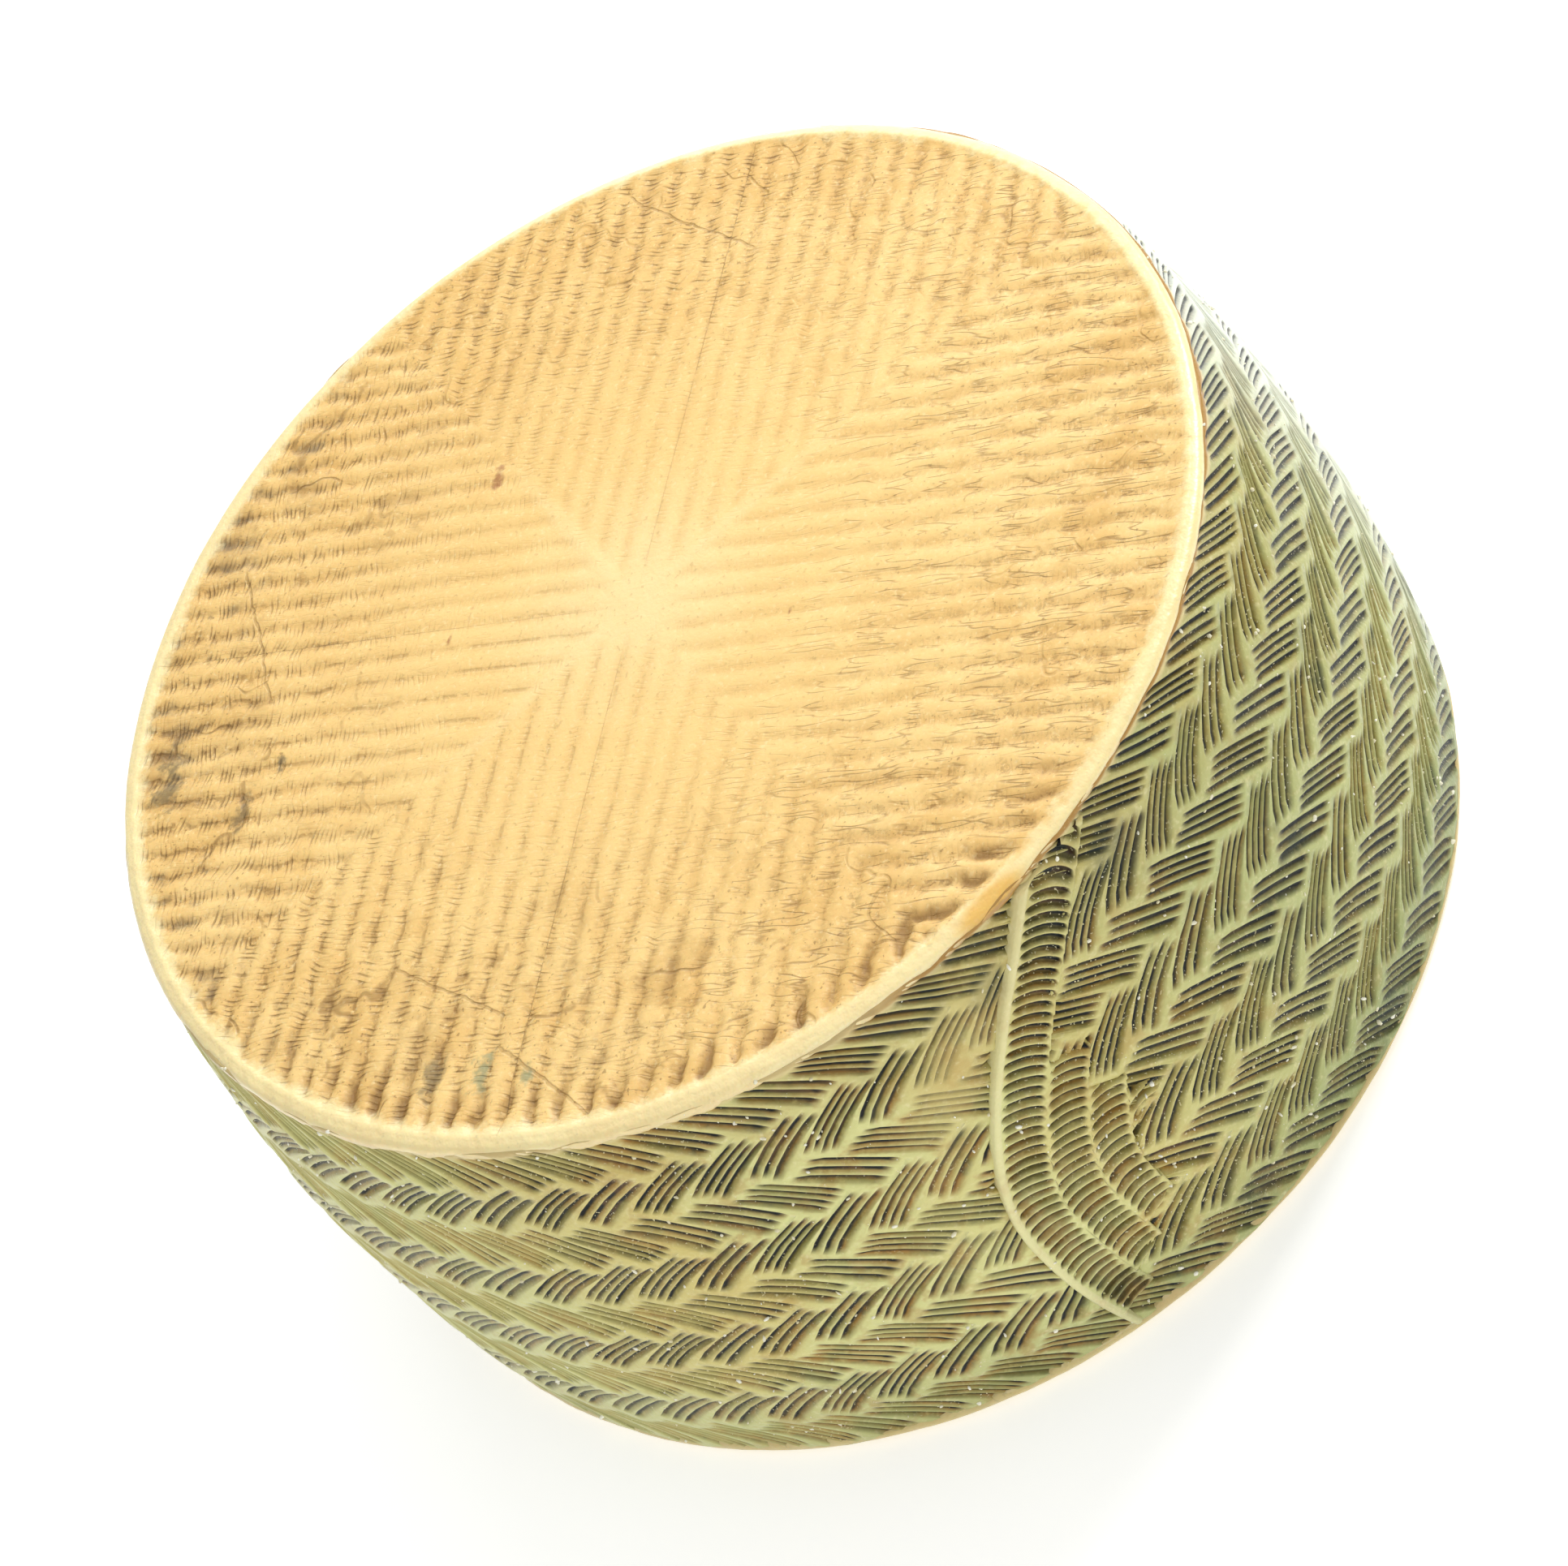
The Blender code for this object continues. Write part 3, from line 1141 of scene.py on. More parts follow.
def grid_faces(rows: int, columns: int, wrap: bool) -> np.ndarray:
    """The quads of a grid whose vertices run column by column within each row.

    Args:
        rows: rows of vertices.
        columns: vertices in a row.
        wrap: True if the last column meets the first.

    Returns:
        Vertex numbers, four to a quad, turned so that rows go down an outer side.
    """
    row = np.arange(rows - 1)[:, None]
    column = np.arange(columns if wrap else columns - 1)[None, :]
    after = (column + 1) % columns
    corners = (row * columns + column, (row + 1) * columns + column,
               (row + 1) * columns + after, row * columns + after)
    return np.stack([np.broadcast_to(c, (rows - 1, column.size)) for c in corners], -1).reshape(-1, 4)


def add_object(name: str, data: bpy.types.ID) -> bpy.types.Object:
    """Links a new object to the scene.

    Args:
        name: the object's name.
        data: its mesh, light or camera.

    Returns:
        The object.
    """
    made = bpy.data.objects.new(name, data)
    bpy.context.scene.collection.objects.link(made)
    return made


def blank_object(name: str, points: np.ndarray, faces: list[list[int]]) -> bpy.types.Object:
    """Makes a blank that a pattern is pressed into.

    Args:
        name: the object's name.
        points: its vertices.
        faces: its faces.

    Returns:
        The object, linked to the scene.
    """
    mesh = bpy.data.meshes.new(name)
    mesh.from_pydata(points, [], faces)
    mesh.validate()
    return add_object(name, mesh)


def write_numbers(mesh: bpy.types.Mesh, name: str, values: np.ndarray, size: int = 1) -> None:
    """Keeps a number, or a vector, for each vertex of a mesh, and 0 for those past the values' end.

    Args:
        mesh: the mesh.
        name: what the values are called.
        values: one number, or one vector, for each of its first vertices.
        size: 1 for numbers and 3 for vectors.
    """
    kind, key = ("FLOAT", "value") if size == 1 else ("FLOAT_VECTOR", "vector")
    kept = np.zeros(len(mesh.vertices) * size, np.float32)
    kept[: values.size] = values.ravel()
    mesh.attributes.new(name, kind, "POINT").data.foreach_set(key, kept)


def corner_vertices(mesh: bpy.types.Mesh) -> np.ndarray:
    """The vertex at each corner of a mesh's faces.

    Args:
        mesh: the mesh.

    Returns:
        The vertices' numbers, corner by corner.
    """
    corners = np.empty(len(mesh.loops), np.int32)
    mesh.loops.foreach_get("vertex_index", corners)
    return corners


def write_map(mesh: bpy.types.Mesh, name: str, places: np.ndarray) -> None:
    """Keeps a UV place for each corner of a mesh."""
    layer = mesh.uv_layers.new(name=name)
    layer.data.foreach_set("uv", places.astype(np.float32).ravel())


@dataclass
class PressTree:
    """A Geometry Nodes tree that moves a blank's skin in or out by a rule."""

    name: str
    graph: Graph = field(init=False)
    start: bpy.types.Node = field(init=False)

    def __post_init__(self) -> None:
        """Makes the tree with its geometry, material and depth inputs."""
        tree = bpy.data.node_groups.new(self.name, "GeometryNodeTree")
        tree.interface.new_socket("Geometry", in_out="INPUT", socket_type="NodeSocketGeometry")
        tree.interface.new_socket("Geometry", in_out="OUTPUT", socket_type="NodeSocketGeometry")
        tree.interface.new_socket("Finish", in_out="INPUT", socket_type="NodeSocketMaterial")
        self.graph = Graph(tree)
        self.start = tree.nodes.new("NodeGroupInput")

    def number(self, name: str, value: float) -> Term:
        """Adds a named number input.

        Args:
            name: the input's name.
            value: what it is at first.

        Returns:
            Its term.
        """
        tree = self.graph.tree
        kind = "NodeSocketInt" if isinstance(value, int) else "NodeSocketFloat"
        tree.interface.new_socket(name, in_out="INPUT", socket_type=kind).default_value = value
        return self.graph.term(self.start, name)

    def held(self, name: str, kind: str = "FLOAT") -> Term:
        """Reads what the blank keeps at each vertex."""
        node = self.graph.node("GeometryNodeInputNamedAttribute", {"Name": name}, data_type=kind)
        return self.graph.term(node, "Attribute")

    def given(self) -> Term:
        """The blank's own geometry."""
        return self.graph.term(self.start, "Geometry")

    def press(self, outward: Term, height: Term) -> Term:
        """Moves the skin along its outward direction by a height.

        Args:
            outward: the direction at each vertex.
            height: how far it moves, in metres.

        Returns:
            The moved geometry.
        """
        sizes = {0: outward, "Scale": height}
        scaled = self.graph.node("ShaderNodeVectorMath", sizes, operation="SCALE")
        values = {"Geometry": self.given(), "Offset": self.graph.term(scaled)}
        return self.graph.term(self.graph.node("GeometryNodeSetPosition", values))

    def close(self, geometry: Term) -> None:
        """Ends the tree in Realize Instances and Set Material.

        Args:
            geometry: what the tree has made.
        """
        real = self.graph.term(self.graph.node("GeometryNodeRealizeInstances", {0: geometry}))
        finish = self.graph.term(self.start, "Finish")
        dressed = self.graph.node("GeometryNodeSetMaterial", {"Geometry": real, "Material": finish})
        self.graph.node("NodeGroupOutput", {0: self.graph.term(dressed)})

    def apply(self, blank: bpy.types.Object, finish: bpy.types.Material, **numbers: float) -> None:
        """Runs the tree on a blank and keeps the result as a plain mesh.

        Args:
            blank: the object to work on.
            finish: the material of the result.
            numbers: the tree's inputs by name, with _ for a space.
        """
        modifier = blank.modifiers.new(self.name, "NODES")
        modifier.node_group = self.graph.tree
        given = {name.replace("_", " "): value for name, value in numbers.items()} | {"Finish": finish}
        for item in self.graph.tree.interface.items_tree:
            if item.in_out == "INPUT" and item.name in given:
                modifier[item.identifier] = given[item.name]
        graph = bpy.context.evaluated_depsgraph_get()
        result = bpy.data.meshes.new_from_object(blank.evaluated_get(graph), depsgraph=graph)
        blank.modifiers.remove(modifier)
        before, blank.data = blank.data, result
        bpy.data.meshes.remove(before)
        result.name = blank.name
        result.shade_smooth()


def count_triangles(piece: bpy.types.Object) -> int:
    """How many triangles a piece's faces make."""
    return sum(len(face.vertices) - 2 for face in piece.data.polygons)


# --------------------------------------------------------------------------------- the sub-assemblies


@dataclass
class PlaitedSide:
    """The side's rind, whose columns of quads follow the plait's grooves."""

    form: WheelForm
    plait: PlaitRule
    finish: SideFinish
    columns_in_block: int = 24
    rings_in_row: tuple[float, ...] = (0.0, 0.08, 0.22, 0.48, 0.76, 0.92)
    row_edges: tuple[float, ...] = (0.015, 0.106, 0.203, 0.310, 0.415, 0.520, 0.630, 0.742, 0.860, 0.982)
    rings_above: tuple[float, ...] = (-0.22, -0.12, -0.05)  # past the first row, in rows
    rings_below: tuple[float, ...] = (0.0, 0.03, 0.06, 0.08)  # and past the last
    tuck: float = 2.2 * MM  # how far the side's ends reach in under each lip
    dive: float = 0.7 * MM  # how far it turns in before them
    sunk_depth: float = 2.4 * MM  # how far it lies below the stitched bands
    inner_radius: float = 55.0 * MM  # of the hidden wall that closes it
    inner_share: float = 0.1  # and its height, as a share of the side's
    band_inset: float = 0.9  # how far inside the stitched bands the sunk part starts, in mm
    end_inset: float = 0.045  # and inside their ends, as a share down the side
    rub_left: float = 8.5  # where the rubbed strip's middle lies, in mm left of the seam
    rub_spread: float = 8.0
    rubs: tuple[tuple[float, float, float], ...] = (
        (0.21, 0.11, 1.0),
        (0.52, 0.16, 0.45),
    )  # each rub's share down the side, spread and strength

    def rows_down(self) -> np.ndarray:
        """Each ring's place down the side, in rows, with a few rings past each end.

        Returns:
            The places.
        """
        inside = np.arange(self.plait.rows)[:, None] + np.array(self.rings_in_row)
        below = self.plait.rows + np.array(self.rings_below)
        return np.concatenate([self.rings_above, inside.ravel(), below])

    def height_of(self, down: np.ndarray) -> np.ndarray:
        """The height of a place down the side, in rows.

        Args:
            down: the places, in rows.

        Returns:
            Their heights.
        """
        last = self.plait.rows
        past = np.minimum(down, 0) * 0.03 + np.maximum(down - last, 0) * 0.05
        return self.form.height * (1 - np.interp(down, np.arange(last + 1), self.row_edges) - past)

    def sideways(self, rows: np.ndarray) -> np.ndarray:
        """How far a groove has run sideways at each place down the side, in blocks.

        Args:
            rows: the places, in rows.

        Returns:
            How far it has run at each.
        """
        inside = np.clip(rows, 0, self.plait.rows)
        row = np.minimum(np.floor(inside), self.plait.rows - 1)
        along = inside - row
        rising = row % 2
        bow = 4 * along * (1 - along)
        falls = self.plait.run * along + self.plait.falling_arch * bow
        rises = self.plait.run * (1 - along) - self.plait.rising_arch * bow
        return np.where(rising == 1, rises, falls)

    def build(self) -> bpy.types.Object:
        """Makes the side.

        Returns:
            The finished piece.
        """
        rows = self.rows_down()
        blocks = np.arange(self.plait.blocks * self.columns_in_block) / self.columns_in_block
        turn, z, radius = self.skin(rows, blocks)
        beside = self.form.seam_distance(turn, z)
        radius -= self.sunk_depth * self.under_seam(beside, z)
        ends = np.array([0, len(rows) - 1])
        radius[ends] -= self.tuck
        outer = np.stack([radius * np.cos(turn), radius * np.sin(turn), z], -1)
        slope = np.gradient(self.form.side_radius(z[:, 0]), z[:, 0])[:, None] * np.ones_like(z)
        outward = np.stack([np.cos(turn), np.sin(turn), -slope], -1)
        outward /= np.linalg.norm(outward, axis=-1, keepdims=True)
        blank = self.closed_blank(outer)

        skin = np.ones_like(z)
        skin[ends] = 0
        write_numbers(blank.data, "blocks", np.tile(blocks, len(rows)))
        write_numbers(blank.data, "rows", np.repeat(rows, len(blocks)))
        write_numbers(blank.data, "skin", skin)
        write_numbers(blank.data, "outward", outward, size=3)
        write_numbers(blank.data, "smear", self.smear(beside, z))
        self.write_plait_map(blank.data, len(blocks), rows)
        self.tree().apply(blank, self.finish.plaited(), Depth=1.0, Unevenness=0.5 * MM, Drift=0.9 * MM)
        return blank

    def skin(self, rows: np.ndarray, blocks: np.ndarray) -> tuple[np.ndarray, np.ndarray, np.ndarray]:
        """Places the side's skin, whose rows step up and down where bundles reach over each other.

        Args:
            rows: each ring's place down the side.
            blocks: each column's place round it.

        Returns:
            The angle, height and radius of each vertex, ring by ring.
        """
        saw = 2 * np.abs(2 * ((blocks + 0.25) % 1) - 1) - 1
        held = np.clip(np.minimum(rows + 0.1, self.plait.rows + 0.1 - rows) / 0.35, 0, 1)
        z = self.height_of(rows[:, None] - self.plait.interlock * held[:, None] * saw[None, :])
        turn = (blocks[None, :] + self.sideways(rows)[:, None]) * (math.tau / self.plait.blocks)
        past = np.maximum(-rows, rows - self.plait.rows)[:, None]
        return turn, z, self.form.side_radius(z) - self.dive * np.clip(past / 0.12, 0, 1)

    def closed_blank(self, outer: np.ndarray) -> bpy.types.Object:
        """Closes the skin with a hidden wall inside the wheel.

        Args:
            outer: the skin's vertices, by ring and column.

        Returns:
            The blank.
        """
        rings, columns = outer.shape[0] + 2, outer.shape[1]
        inner = []
        for ring in (outer[-1], outer[0]):
            flat = ring[:, :2] / np.linalg.norm(ring[:, :2], axis=1, keepdims=True) * self.inner_radius
            level = (1 - self.inner_share) / 2 * self.form.height + self.inner_share * ring[:, 2:]
            inner.append(np.concatenate([flat, level], 1))
        first = np.arange(columns)
        last = (rings - 1) * columns + first
        bridge = np.stack([last, first, np.roll(first, -1), np.roll(last, -1)], -1)
        faces = np.concatenate([grid_faces(rings, columns, wrap=True), bridge])
        points = np.concatenate([outer.reshape(-1, 3), *inner])
        return blank_object("plaited_side", points, faces.tolist())

    def under_seam(self, beside: np.ndarray, z: np.ndarray) -> np.ndarray:
        """Where the stitched bands cover the side, a little inside their edges.

        Args:
            beside: the distance right of the seam at each place, in metres along the side.
            z: its height.

        Returns:
            1 under the bands and 0 elsewhere.
        """
        rule = self.finish.stitches
        level = np.linspace(0, self.form.height, 200)
        lean = np.gradient(self.form.seam_angle(level) * self.form.side_radius(level), -level)
        away = beside / MM / np.hypot(np.interp(z, level, lean), 1.0)
        down = 1 - z / self.form.height
        covered = np.ones_like(z)
        for shift in (-self.band_inset, self.band_inset):
            band = np.floor((away + shift - rule.ridge_half) / rule.band)
            number = np.clip(band, 0, len(rule.starts) - 1).astype(int)
            starts = np.maximum(np.array(rule.starts)[number] + self.end_inset, 0.05)
            stops = np.array(rule.stops)[number] - self.end_inset
            covered *= (band >= 0) & (band < len(rule.starts)) & (down > starts) & (down < stops)
        return covered

    def smear(self, beside: np.ndarray, z: np.ndarray) -> np.ndarray:
        """How far the rind was rubbed smooth where the band slid, left of the seam.

        Args:
            beside: the distance right of the seam at each place, in metres along the side.
            z: its height.

        Returns:
            The rubbing, from 0 to 1.
        """
        down = 1 - z / self.form.height
        near = np.exp(-((beside / MM + self.rub_left) / self.rub_spread) ** 2) * (beside < 0)
        rubbed = sum(strength * np.exp(-((down - at) / spread) ** 2) for at, spread, strength in self.rubs)
        return np.clip(near * rubbed, 0, 1)

    def write_plait_map(self, mesh: bpy.types.Mesh, columns: int, rows: np.ndarray) -> None:
        """Keeps each corner's place in blocks and rows, without a jump where the wheel closes.

        Args:
            mesh: the side's mesh.
            columns: how many columns it has.
            rows: each ring's place, in rows.
        """
        ring, column = np.divmod(corner_vertices(mesh), columns)
        blocks = column / self.columns_in_block
        by_face = blocks.reshape(-1, 4)
        closing = by_face.max(1, keepdims=True) - by_face > self.plait.blocks / 2
        blocks = (by_face + closing * self.plait.blocks).ravel()
        down = np.concatenate([rows, [self.plait.rows, 0.0]])[ring]
        write_map(mesh, "plait", np.stack([blocks, down], -1))

    def tree(self) -> PressTree:
        """The tree that presses the plait into the side.

        Returns:
            The tree.
        """
        press = PressTree("press_plait")
        graph = press.graph
        depth = press.number("Depth", 1.0)
        uneven = press.number("Unevenness", 0.5 * MM)
        drift = press.number("Drift", 0.9 * MM)
        marks = self.plait.marks(graph, press.held("blocks"), press.held("rows"))
        place = graph.position()
        swell = graph.noise(place, 42.0, detail=2.0) - 0.5
        worn = 1.0 - press.held("smear") * 0.75
        rubbed = graph.noise(place, 60.0, detail=2.0) * 0.5 + 0.75
        height = swell * uneven * 2.0 - self.plait.depth(marks) * depth * worn * rubbed
        x, y, z = graph.split(press.held("outward", "FLOAT_VECTOR"))
        slide = (graph.noise(place, 58.0, detail=1.0) - 0.5) * drift * 2.0
        lift = (graph.noise(place, 47.0, detail=1.0) - 0.5) * drift * 1.6
        offset = graph.vector(x * height - y * slide, y * height + x * slide, z * height + lift)
        press.close(press.press(offset, press.held("skin")))
        return press


@dataclass
class BandSeam:
    """The seam's ridge and stitched bands, a patch that rises through the plaited side."""

    form: WheelForm
    stitches: StitchRule
    finish: SideFinish
    left: float = -5.0 * MM
    right: float = 31.0 * MM
    across_step: float = 0.30 * MM
    down_step: float = 0.15 * MM
    top_gap: float = 2.6 * MM  # from the faces to the patch's ends
    base_gap: float = 3.0 * MM
    thickness: float = 9.0 * MM

    def build(self) -> bpy.types.Object:
        """Makes the seam.

        Returns:
            The finished piece.
        """
        form = self.form
        z = np.arange(form.height - self.top_gap, self.base_gap, -self.down_step)
        across = np.arange(self.left, self.right, self.across_step)
        seam = form.seam_angle(z)
        lean = np.gradient(seam * form.side_radius(z), -z)
        away = across[None, :] / np.hypot(lean, 1.0)[:, None]
        along = self.length_along(z, lean, across, away)

        turn = seam[:, None] + across[None, :] / form.side_radius(z)[:, None]
        heights = np.broadcast_to(z[:, None], turn.shape)
        skin = self.shell(turn, heights, 0.0)
        back = self.shell(turn, heights, -self.thickness)
        rows, columns = turn.shape
        loop = self.rim_loop(rows, columns)
        count, inner = rows * columns, len(loop)
        core = back[loop].mean(0, keepdims=True)
        points = np.concatenate([skin, back[loop], core])
        ring = np.arange(inner)
        after = np.roll(ring, -1)
        edge = np.stack([loop, loop[after], count + after, count + ring], -1)
        fan = np.stack([count + ring, count + after, np.full(inner, count + inner)], -1)
        faces = [*grid_faces(rows, columns, wrap=False).tolist(), *edge.tolist(), *fan.tolist()]
        blank = blank_object("band_seam", points, faces)

        outward = np.stack([np.cos(turn), np.sin(turn), np.zeros_like(turn)], -1)
        write_numbers(blank.data, "outward", outward, size=3)
        write_numbers(blank.data, "away", away / MM)
        write_numbers(blank.data, "along", along / MM)
        write_numbers(blank.data, "down", 1 - heights / form.height)
        spots = np.stack([away / MM, along / MM], -1).reshape(-1, 2)
        hidden = np.zeros((inner + 1, 2))
        write_map(blank.data, "stitch", np.concatenate([spots, hidden])[corner_vertices(blank.data)])
        self.tree().apply(blank, self.finish.stitched(), Depth=1.0)
        return blank

    def length_along(
        self, z: np.ndarray, lean: np.ndarray, across: np.ndarray, away: np.ndarray
    ) -> np.ndarray:
        """The distance down each stitched band's own middle, so that its stitches keep their pitch.

        Args:
            z: the height of each row of the patch.
            lean: how far the seam moves to the right for each unit down.
            across: how far right of the seam each column lies.
            away: the distance of each place from the seam.

        Returns:
            The distance at each place, in metres.
        """
        rule = self.stitches
        foot = -z[:, None] + across[None, :] * (lean / (1 + lean**2))[:, None]
        past = np.maximum(foot + z[-1], 0) + np.minimum(foot + z[0], 0)
        pace = np.hypot(lean, 1.0)
        bend = np.gradient(np.arctan(lean), -z) / pace
        number = np.clip(np.floor((away / MM - rule.ridge_half) / rule.band), 0, len(rule.starts) - 1)
        along = np.zeros_like(away)
        for band in range(len(rule.starts)):
            middle = (rule.ridge_half + (band + 0.5) * rule.band) * MM
            steps = ((1 - bend * middle) * pace)[1:] * -np.diff(z)
            length = np.concatenate([[0.0], np.cumsum(steps)])
            along = np.where(number == band, np.interp(foot, -z, length) + past, along)
        return along

    def shell(self, turn: np.ndarray, z: np.ndarray, offset: float) -> np.ndarray:
        """Points on the side, offset outwards."""
        radius = self.form.side_radius(z) + offset
        return np.stack([radius * np.cos(turn), radius * np.sin(turn), z], -1).reshape(-1, 3)

    def rim_loop(self, rows: int, columns: int) -> np.ndarray:
        """The patch's boundary vertices, all round."""
        ids = np.arange(rows * columns).reshape(rows, columns)
        return np.concatenate([ids[0, :-1], ids[:-1, -1], ids[-1, :0:-1], ids[:0:-1, 0]])

    def tree(self) -> PressTree:
        """The tree that presses the stitches into the patch.

        Returns:
            The tree.
        """
        press = PressTree("press_stitches")
        graph = press.graph
        depth = press.number("Depth", 1.0)
        marks = self.stitches.marks(graph, press.held("away"), press.held("along"), press.held("down"))
        place = graph.position()
        swell = graph.noise(place, 42.0, detail=2.0) - 0.5
        height = self.stitches.height(graph, marks) * depth + swell * MM
        press.close(press.press(press.held("outward", "FLOAT_VECTOR"), height))
        return press


class Board(Enum):
    """Which of the two carved boards pressed a face."""

    UPPER = "top"
    LOWER = "base"


@dataclass
class PressedFace:
    """A face and its lip: a disc of quads with rings round it that roll over the rim."""

    form: WheelForm
    flower: FlowerRule
    board: Board
    cells: int = 264  # quads across the disc
    flat_rings: int = 7  # over the lip's flat part
    bead_rings: int = 10  # over its bead
    lip_width: float = 2.5 * MM
    lip_swell: float = 0.12 * MM
    overhang: float = 0.36 * MM
    under_lip: tuple[tuple[float, float], ...] = ((2.5, 1.2), (5.5, 4.0))  # in from the rim and down, in mm
    plug: tuple[tuple[float, float], ...] = ((16.0, 18.2), (40.0, 26.0))  # the hidden part, the same way

    @property
    def rim(self) -> float:
        """The rim's radius at this face."""
        return self.form.top_rim if self.board is Board.UPPER else self.form.base_rim

    def disc(self, radius: float) -> np.ndarray:
        """A square grid mapped onto a disc, with even steps round its edge.

        Args:
            radius: the disc's radius.

        Returns:
            Its vertices, by row and column.
        """
        steps = np.linspace(-1, 1, self.cells + 1)
        u, v = np.meshgrid(steps, steps, indexing="ij")
        wide = np.abs(u) >= np.abs(v)
        safe_u = np.where(u == 0, 1, u)
        safe_v = np.where(v == 0, 1, v)
        reach = np.where(wide, u, v)
        angle = np.where(wide, (math.pi / 4) * (v / safe_u), math.pi / 2 - (math.pi / 4) * (u / safe_v))
        return np.stack([radius * reach * np.cos(angle), radius * reach * np.sin(angle)], -1)

    def edge_loop(self) -> np.ndarray:
        """The disc's boundary vertices, anticlockwise."""
        ids = np.arange((self.cells + 1) ** 2).reshape(self.cells + 1, self.cells + 1)
        return np.concatenate([ids[-1, :-1], ids[:0:-1, -1], ids[0, :0:-1], ids[:-1, 0]])

    def lip_outline(self) -> np.ndarray:
        """The lip's profile, from the face's edge to the hidden plug.

        Returns:
            The radius of each ring and its depth below the face.
        """
        rim, height = self.rim, self.form.lip_height
        bead = height * 0.5
        steps = np.linspace(0, 1, self.flat_rings + 1)[1:]
        across = rim - self.lip_width + (self.lip_width - bead) * steps
        swell = -self.lip_swell * np.sin(np.pi * steps)
        arc = np.linspace(0, np.pi, self.bead_rings + 1)[1:]
        round_r = rim - bead + (bead + self.overhang) * np.sin(arc)
        round_d = bead - bead * np.cos(arc)
        bead_outline = np.stack([np.concatenate([across, round_r]), np.concatenate([swell, round_d])], -1)
        below = np.array([(rim - inwards * MM, height + down * MM) for inwards, down in self.under_lip])
        plug = np.array([(rim - inwards * MM, down * MM) for inwards, down in self.plug])
        return np.concatenate([bead_outline, below, plug])

    def build(self, finish: FaceFinish) -> bpy.types.Object:
        """Makes the face and its lip.

        Args:
            finish: the rind's finish.

        Returns:
            The finished piece.
        """
        upper = self.board is Board.UPPER
        face_z, inward = (self.form.height, -1.0) if upper else (0.0, 1.0)
        flat = self.disc(self.rim - self.lip_width).reshape(-1, 2)
        loop = self.edge_loop()
        turn = np.arctan2(flat[loop, 1], flat[loop, 0])
        profile = self.lip_outline()
        reach, level = profile[:, :1], face_z + inward * profile[:, 1:]
        rings = np.stack([reach * np.cos(turn), reach * np.sin(turn), level * np.ones_like(turn)], -1)
        disc = np.concatenate([flat, np.full((len(flat), 1), face_z)], 1)
        points = np.concatenate([disc, rings.reshape(-1, 3)])
        ids = np.arange(len(flat)).reshape(self.cells + 1, self.cells + 1)
        square = np.stack([ids[:-1, :-1], ids[1:, :-1], ids[1:, 1:], ids[:-1, 1:]], -1).reshape(-1, 4)
        count = len(loop)
        order = np.concatenate([loop, len(flat) + np.arange(len(profile) * count)])
        around = order[grid_faces(len(profile) + 1, count, wrap=True)]
        faces = np.concatenate([square, around]).tolist()
        faces.append(order[-count:][::-1].tolist())
        blank = blank_object(f"pressed_face_{self.board.value}", points, faces)
        mesh = bmesh.new()
        mesh.from_mesh(blank.data)
        bmesh.ops.recalc_face_normals(mesh, faces=mesh.faces)
        mesh.to_mesh(blank.data)
        mesh.free()

        hidden = len(self.under_lip) + len(self.plug)
        write_numbers(blank.data, "skin", np.ones(len(points) - hidden * count))
        lip = np.repeat(np.linspace(0.1, 1, len(profile) - hidden), count)
        write_numbers(blank.data, "lip", np.concatenate([np.zeros(len(flat)), lip]))
        material = finish.material(f"pressed_rind_{self.board.value}", face_z)
        self.tree(inward).apply(blank, material, Depth=1.0, Lip_unevenness=0.55 * MM)
        return blank

    def tree(self, inward: float) -> PressTree:
        """The tree that presses the flower into the face and wavers the lip.

        Args:
            inward: the way into the wheel along Z.

        Returns:
            The tree.
        """
        press = PressTree(f"press_flower_{self.board.value}")
        graph = press.graph
        depth = press.number("Depth", 1.0)
        uneven = press.number("Lip unevenness", 0.55 * MM)
        lip = press.held("lip")
        place = graph.position()
        x, y, _ = graph.split(place)
        marks = self.flower.marks(graph, x, y)
        swell = graph.noise(place, 30.0, detail=2.0) * 0.5 * MM
        front_left = graph.step((x * -0.73 - y * 0.68) / (marks["radius"] + 0.001), 0.2, 0.75)
        ragged = graph.noise(place, 150.0, detail=3.0, rough=0.6) - 0.5
        droop = (front_left * 0.9 * MM + ragged * (front_left * 3.0 + 0.9) * MM) * lip * lip
        down = marks["depth"] * depth + swell * graph.clamp(marks["radius"] * 12.0) + droop
        waver = (graph.noise(place, 55.0, detail=3.0) - 0.5) * uneven * 2.0 * lip + droop * 0.42
        outward = waver / (marks["radius"] + 0.001)
        offset = graph.vector(x * outward, y * outward, down * inward)
        press.close(press.press(offset, press.held("skin")))
        return press


